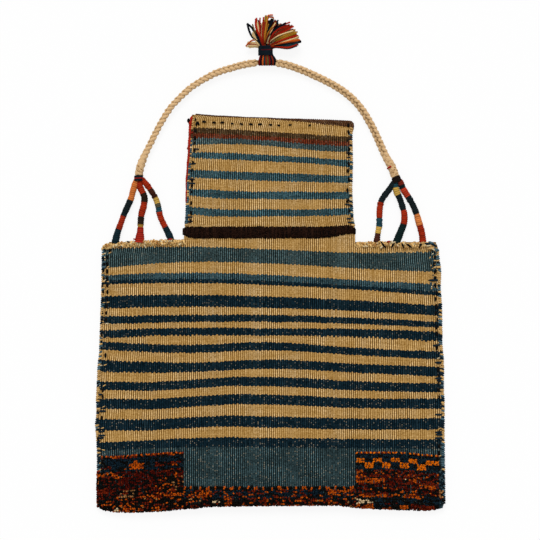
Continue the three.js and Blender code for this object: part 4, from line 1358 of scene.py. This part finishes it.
# Each leg: its way from the binding down to the edging, and its bands of yarn with the lower end of each.
LEGS = {
    "left_outer": (
        [(-147.5, 68), (-149.7, 62), (-151.7, 55.5), (-153.5, 48.4), (-157.2, 39.6), (-161.2, 30.8),
         (-164.4, 22), (-168.6, 10), (-171.3, -1.5)],
        [("peach", 46.2), ("ink", 28.6), ("rust", 14.3), ("night", -9)],
    ),
    "left_middle": (
        [(-144.6, 66.9), (-143.8, 61), (-140.6, 54), (-138.8, 48.4), (-139.7, 39.6), (-142.1, 30.8),
         (-143, 22), (-143.5, 10), (-144.3, -0.5)],
        [("red", 53.4), ("bark", 44), ("red", 28.6), ("bark", 19.8), ("ochre", 16.5), ("crimson", -9)],
    ),
    "left_inner": (
        [(-143, 70), (-139.5, 66.8), (-136.2, 63), (-132, 57.2), (-126.7, 48.4), (-123.7, 39.6), (-121, 27),
         (-111.8, 8), (-109, 0.5)],
        [("red", 58.3), ("chestnut", 49), ("mustard", 42.9), ("olive", 38.5), ("teal", 33), ("red", 16.5),
         ("night", -9)],
    ),
    "right_inner": (
        [(136.8, 66.6), (131, 58.1), (124.6, 49.7), (121.8, 44.3), (120.3, 36), (120, 26.4), (119.8, 17.9),
         (118.8, 12.7), (116.8, -1)],
        [("ink", 44), ("red", 26.4), ("teal", 16.5), ("mustard", 9.4), ("maroon", -9)],
    ),
    "right_middle": (
        [(137.6, 65.5), (137.9, 60), (139.6, 54), (142.2, 48.4), (145.2, 39.6), (147.4, 30.8), (147, 21),
         (143.5, 11.6), (138.4, -1)],
        [("teal", 60.5), ("mustard", 51.7), ("ink", 35.2), ("red", 19.8), ("pine", -9)],
    ),
    "right_outer": (
        [(141.9, 68), (144.4, 63), (146.2, 58.2), (152.5, 48.4), (157.4, 39.6), (160.9, 30.8), (163.4, 22),
         (166.7, 10), (168, -1)],
        [("brick", 62.7), ("ink", 59.4), ("coral", 50.6), ("ink", 30.8), ("apricot", 18.7), ("rust", -9)],
    ),
}


def band_dye(bands, y):
    return next(LEG_DYES[name] for name, lower in bands if y > lower)


leg_finish = dyed_wool("leg_wool", 1400.0, 0.7)
for name, (route, bands) in LEGS.items():
    line = smooth_path([(x, y, LEG_REST) for x, y in route], WRAP_PITCH / TURN_STEPS)
    steps = np.arange(len(line))
    turn = steps // TURN_STEPS
    crest = np.cos(2 * math.pi / TURN_STEPS * steps)
    flare = FOOT_FLARE.get(name, 0.2) * (1 - ease(line[:, 1], -1, 18))
    line[:, 2] += flare
    girth = luck.normal(0, 0.14, turn[-1] + 1)[turn] + wander(steps, 0.1, 22)
    radius = LEG_RADIUS - LEG_THINNING.get(name, 0) + flare + girth + WRAP_RELIEF * crest
    # Each turn of yarn has its own tone, and is painted lighter on its crest and darker in the groove
    # between turns.
    tones_and_wrap_shade = luck.uniform(0.75, 1.2, turn[-1] + 1)[turn] * (1 + WRAP_PAINTED_SHADE * crest)
    colours = [np.array(band_dye(bands, y)) * tone for (_, y, _), tone in zip(line, tones_and_wrap_shade)]
    leg = Bundle()
    leg.add(tube(line, radius, LEG_SIDES), colours)
    leg_piece = leg.piece("wrapped_" + name, leg_finish, "leg_wrapping", "leg_" + name)

# The bindings: a few turns of dark yarn that whip the three legs to each end of the carrying cord. The left
# one has a red thread round its middle.

BINDING_RADIUS = 4.3
BINDING_YARN = 0.85
BINDING_LENGTH = 7.2
BINDING_REST = 5.25
NAVY_YARN = dye(0x121B22)
DARK_YARN = dye(0x1D1512)
RED_THREAD = dye(0x8A1C16)


def coil(centre, radius_x, radius_z, length, yarn, direction):
    """A close coil of yarn round a cord that runs in a direction in the plane of the table."""
    turns = length / (yarn * 1.75)
    angle = np.arange(0, turns * 2 * math.pi, 0.35)
    along = np.array([math.cos(direction), math.sin(direction), 0])
    across = np.array([-math.sin(direction), math.cos(direction), 0])
    upward = np.array([0, 0, 1])
    travel = (angle / angle[-1] - 0.5) * (length - 2 * yarn)
    ring = across * (radius_x * np.cos(angle))[:, None] + upward * (radius_z * np.sin(angle))[:, None]
    return np.array(centre) + along * travel[:, None] + ring


# Each binding: its place, its dye, the way its cord runs, and the share of its length that is red.
BINDINGS = [
    ("left", LEG_BINDING_LEFT, NAVY_YARN, -math.pi / 2, (0.3, 0.62)),
    ("right", LEG_BINDING_RIGHT, DARK_YARN, -math.radians(69), (0, 0)),
]
binding_wool = dyed_wool("binding_wool", 1500.0, 0.7)
for side, centre, yarn_dye, direction, red_part in BINDINGS:
    place = (centre[0], centre[1], BINDING_REST)
    line = coil(place, BINDING_RADIUS, BINDING_RADIUS, BINDING_LENGTH, BINDING_YARN, direction)
    shares = np.linspace(0, 1, len(line))
    colours = [vary(RED_THREAD if red_part[0] < at < red_part[1] else yarn_dye, 0.25) for at in shares]
    binding = Bundle()
    binding.add(tube(line, BINDING_YARN), colours)
    binding.piece("whipped_binding_" + side, binding_wool, "navy_wool", "leg_binding_" + side)

# The tassel: a hank of loose two-ply yarns in red, orange, mustard, black and cream, looped over the middle
# of the carrying cord, bound with navy yarn above it and cut to a ragged fan that sweeps to the right.

TASSEL_YARN = 0.82
LOOP_YARN = 1.03
WRAP_FOOT = 205
WRAP_LENGTH = 12
WRAP_HALF_WIDTH = 7.4
WRAP_HALF_DEPTH = 5.6
WRAP_REST = 6.7
HANK_TOP = 13.2
TASSEL_DYES = {
    "red": dye(0x9A210F),
    "orange": dye(0xB44E18),
    "gold": dye(0xA87824),
    "ink": dye(0x0E1219),
    "cream": dye(0xC4A878),
    "brick": dye(0x7E2A14),
    "crimson": dye(0x701414),
    "teal": dye(0x223C42),
    "olive": dye(0x665428),
}

# The locks on top, from the lowest: dye, number of yarns, how far they spread, and the way they lie.
LOCKS = [
    ("brick", 4, 0.9, [(-7.5, 214), (-12, 228), (-12.8, 243)]),
    ("ink", 3, 0.7, [(-4.5, 214), (-2.6, 231), (-0.4, 244)]),
    ("brick", 4, 0.8, [(-4, 215), (1, 230), (4, 243)]),
    ("cream", 11, 1.1, [(-9.4, 214), (-16, 216.8), (-24, 217.2)]),
    ("orange", 2, 0.3, [(-9.4, 214), (-12.7, 220), (-19.2, 222.2), (-23.7, 218.9), (-27, 215.3)]),
    ("cream", 6, 0.8, [(-9.4, 214), (-15.4, 222.5), (-20.6, 230.5)]),
    ("brick", 4, 0.6, [(-8.4, 213.5), (-10.5, 219), (-12.6, 226)]),
    ("ink", 3, 0.3, [(-8.6, 213), (-14.3, 220.4), (-20.4, 225.8), (-23.7, 232.5), (-25.8, 240.6)]),
    ("ink", 4, 0.3, [(-25.6, 240.2), (-21.4, 237), (-18.6, 233.2), (-15.4, 226.8), (-10.4, 216)]),
    ("olive", 1, 0.5, [(-8.2, 214), (-16.5, 229.9), (-20.5, 241)]),
    ("cream", 3, 0.5, [(-9, 222), (-12.2, 230), (-14.9, 241)]),
    ("red", 4, 0.6, [(-8.2, 214), (-9.4, 220), (-16, 235.4), (-16.5, 245.9)]),
    ("cream", 3, 0.5, [(-6.6, 216), (-8.8, 228), (-7.8, 240)]),
    ("red", 4, 0.8, [(-7.2, 214), (-10.5, 227.7), (-10, 246.5)]),
    ("gold", 3, 0.7, [(-6.1, 214), (-7.2, 225), (-4.6, 248)]),
    ("brick", 2, 0.5, [(-6.4, 214), (-8.2, 226), (-6.6, 242)]),
    ("orange", 3, 0.5, [(-6.1, 214), (-5.6, 233.2), (-3.4, 246.6), (-0.6, 248.4), (2.8, 248.2)]),
    ("ink", 3, 0.5, [(-5, 214), (-1.7, 233), (2.8, 245)]),
    ("cream", 2, 0.4, [(-4, 218), (0.5, 231), (5.4, 241.5)]),
    ("brick", 4, 0.7, [(-5.8, 219), (-1.1, 231), (6.9, 241.6)]),
    ("red", 4, 0.7, [(-3, 216), (2, 227), (9, 235), (21, 239.6)]),
    ("brick", 3, 0.6, [(0, 220), (9, 230.5), (22.5, 237.6)]),
    ("ink", 5, 0.6, [(-3.2, 224.5), (3.6, 232.6), (16.3, 239.9)]),
    ("gold", 4, 0.6, [(5, 222), (18, 229.4), (26.8, 233)]),
    ("red", 4, 0.6, [(-2.6, 219), (6.2, 227.2), (14.3, 231), (24.3, 236.8)]),
    ("gold", 3, 0.6, [(6, 220), (19.6, 225.6), (29.3, 228.8)]),
    ("cream", 3, 0.4, [(-3.2, 218), (4.9, 224.5), (12.9, 228.3), (25, 231.9)]),
    ("cream", 4, 0.6, [(4, 216), (22.3, 221.8), (30.6, 224.8)]),
    ("gold", 4, 0.5, [(8, 222.5), (18.6, 227.6), (27.6, 230)]),
    ("red", 4, 0.5, [(-1, 216), (10.3, 220.8), (19.6, 223.9), (29.3, 226.5)]),
    ("ink", 4, 0.6, [(4, 215), (14.3, 216.5), (26.3, 217.8), (33.3, 219.4)]),
    ("orange", 4, 0.6, [(-0.5, 215), (10.3, 218.1), (21, 220.5), (31.3, 221.8)]),
    ("teal", 3, 0.4, [(9, 215.2), (20, 216.2), (31, 219)]),
    ("red", 4, 0.6, [(-0.5, 214.6), (8.9, 214.5), (19.6, 213.8), (29, 217.2)]),
]
# The locks below them: their tips lie along a sweep, and their roots along a line in the wrap.
SWEEP_TIPS = [
    (-15, 238), (-8, 243), (1.7, 246), (16, 239), (25.9, 233.5), (30.3, 227), (32, 220), (23.7, 214.5),
]
SWEEP_ROOTS = ((-9, 215), (1.8, 213.5))
SWEEP_ARCH = 2.2
SWEEP_DYES = [
    "red", "cream", "brick", "gold", "orange", "ink", "cream", "brick", "crimson", "gold", "ink", "teal",
]
SWEEP_LOCKS = 32
LOCK_YARNS = 5
LOCK_SPREAD = 0.7
LOCK_PURITY = 0.9
ROOT_SHADE = 0.5
CRIMSON_THREAD = dye(0x4A161A)
CRIMSON_PART = (0.52, 0.61)
LOOP_DYES = ["crimson", "ink", "orange", "teal", "brick", "olive", "crimson", "ink", "brick", "ink"]
LOOP_LEFT = -12.3
LOOP_RIGHT = 4.6
# The way of one loop round the carrying cord, and of the slack yarn beside it.
LOOP_TURN = [(9, 2.8), (1.5, 3.05), (-1.9, 2.4), (-3.05, 0), (-1.9, -2.4), (1.5, -3.05), (9, -2.8)]
BULGE = [(0, 206.5, 10), (3.6, 203.5, 9.5), (5.2, 200, 8.5), (3.8, 196, 7)]


def add_lock(depth, yarn, number, spread, route):
    """A lock of yarns along one way, that far above the middle of the fan. Painted shade makes it darker at
    its root, and a yarn of another dye strays in here and there."""
    for _ in range(number):
        stray = np.linspace(0.5, 1.5, len(route))[:, None] * luck.normal(0, spread, 2)
        level = WRAP_REST + depth * np.linspace(0.7, 1.1, len(route)) + luck.normal(0, 0.4)
        line = smooth_path(np.column_stack([np.array(route) + stray, level]), 1.2)
        line[:, 2] = np.clip(line[:, 2], TASSEL_YARN * 1.4, HANK_TOP)
        thread = tube(line, TASSEL_YARN * luck.uniform(0.85, 1.1), plies=2, lay=4.0)
        strand = yarn if luck.random() < LOCK_PURITY else SWEEP_DYES[luck.integers(len(SWEEP_DYES))]
        root_shade = lerp(ROOT_SHADE, 1, ease(np.linspace(0, 1, len(line)), 0.1, 0.5))
        hank.add(thread, np.array(vary(TASSEL_DYES[strand], 0.3)) * root_shade[:, None])


hank = Bundle()
for number, lock in enumerate(LOCKS):
    add_lock(lerp(0.5, 5, number / len(LOCKS)), *lock)
sweep = smooth_path([(x, y, 0) for x, y in SWEEP_TIPS], 1.0)[:, :2]
for number in range(SWEEP_LOCKS):
    yarn = SWEEP_DYES[luck.integers(len(SWEEP_DYES))]
    share = number / (SWEEP_LOCKS - 1)
    root = lerp(np.array(SWEEP_ROOTS[0]), np.array(SWEEP_ROOTS[1]), share)
    tip = lerp(root, sweep[round(share * (len(sweep) - 1))], luck.uniform(0.8, 1))
    reach = tip - root
    arch = np.array([-reach[1], reach[0]]) / np.linalg.norm(reach) * SWEEP_ARCH
    depth = luck.uniform(-3.4, 0.5)
    route = [root, lerp(root, tip, 0.35) + arch, lerp(root, tip, 0.7) + arch, tip]
    add_lock(depth, yarn, LOCK_YARNS, LOCK_SPREAD, route)
loop_height = BRAID_REST + TASSEL_LIFT
for number, yarn in enumerate(LOOP_DYES):
    x = lerp(LOOP_LEFT, LOOP_RIGHT, number / (len(LOOP_DYES) - 1))
    bound = lerp(x, TASSEL_POINT[0], 0.3)
    places = [bound, x, x, x, x, x, bound]
    turn = [(at, TASSEL_POINT[1] + y, loop_height + z) for at, (y, z) in zip(places, LOOP_TURN)]
    hank.add(tube(smooth_path(turn, 1.0), LOOP_YARN, plies=2, lay=5.0), vary(TASSEL_DYES[yarn], 0.25))
hank.add(tube(smooth_path(BULGE, 1.0), LOOP_YARN, plies=2, lay=5.0), TASSEL_DYES["ink"])
hank_piece = hank.piece("yarn_hank", dyed_wool("tassel_wool", 1600.0, 0.6), "tassel_wool", "tassel_yarn")

wrap = Bundle()
wrap_centre = (TASSEL_POINT[0], WRAP_FOOT + WRAP_LENGTH / 2, WRAP_REST)
line = coil(wrap_centre, WRAP_HALF_WIDTH, WRAP_HALF_DEPTH, WRAP_LENGTH, BINDING_YARN, math.pi / 2)
shares = np.linspace(0, 1, len(line))
is_crimson = (shares > CRIMSON_PART[0]) & (shares < CRIMSON_PART[1])
colours = [vary(CRIMSON_THREAD if crimson else NAVY_YARN, 0.3) for crimson in is_crimson]
wrap.add(tube(line, BINDING_YARN), colours)
wrap_piece = wrap.piece("tassel_whipping", binding_wool, "navy_wool", "tassel_wrap")
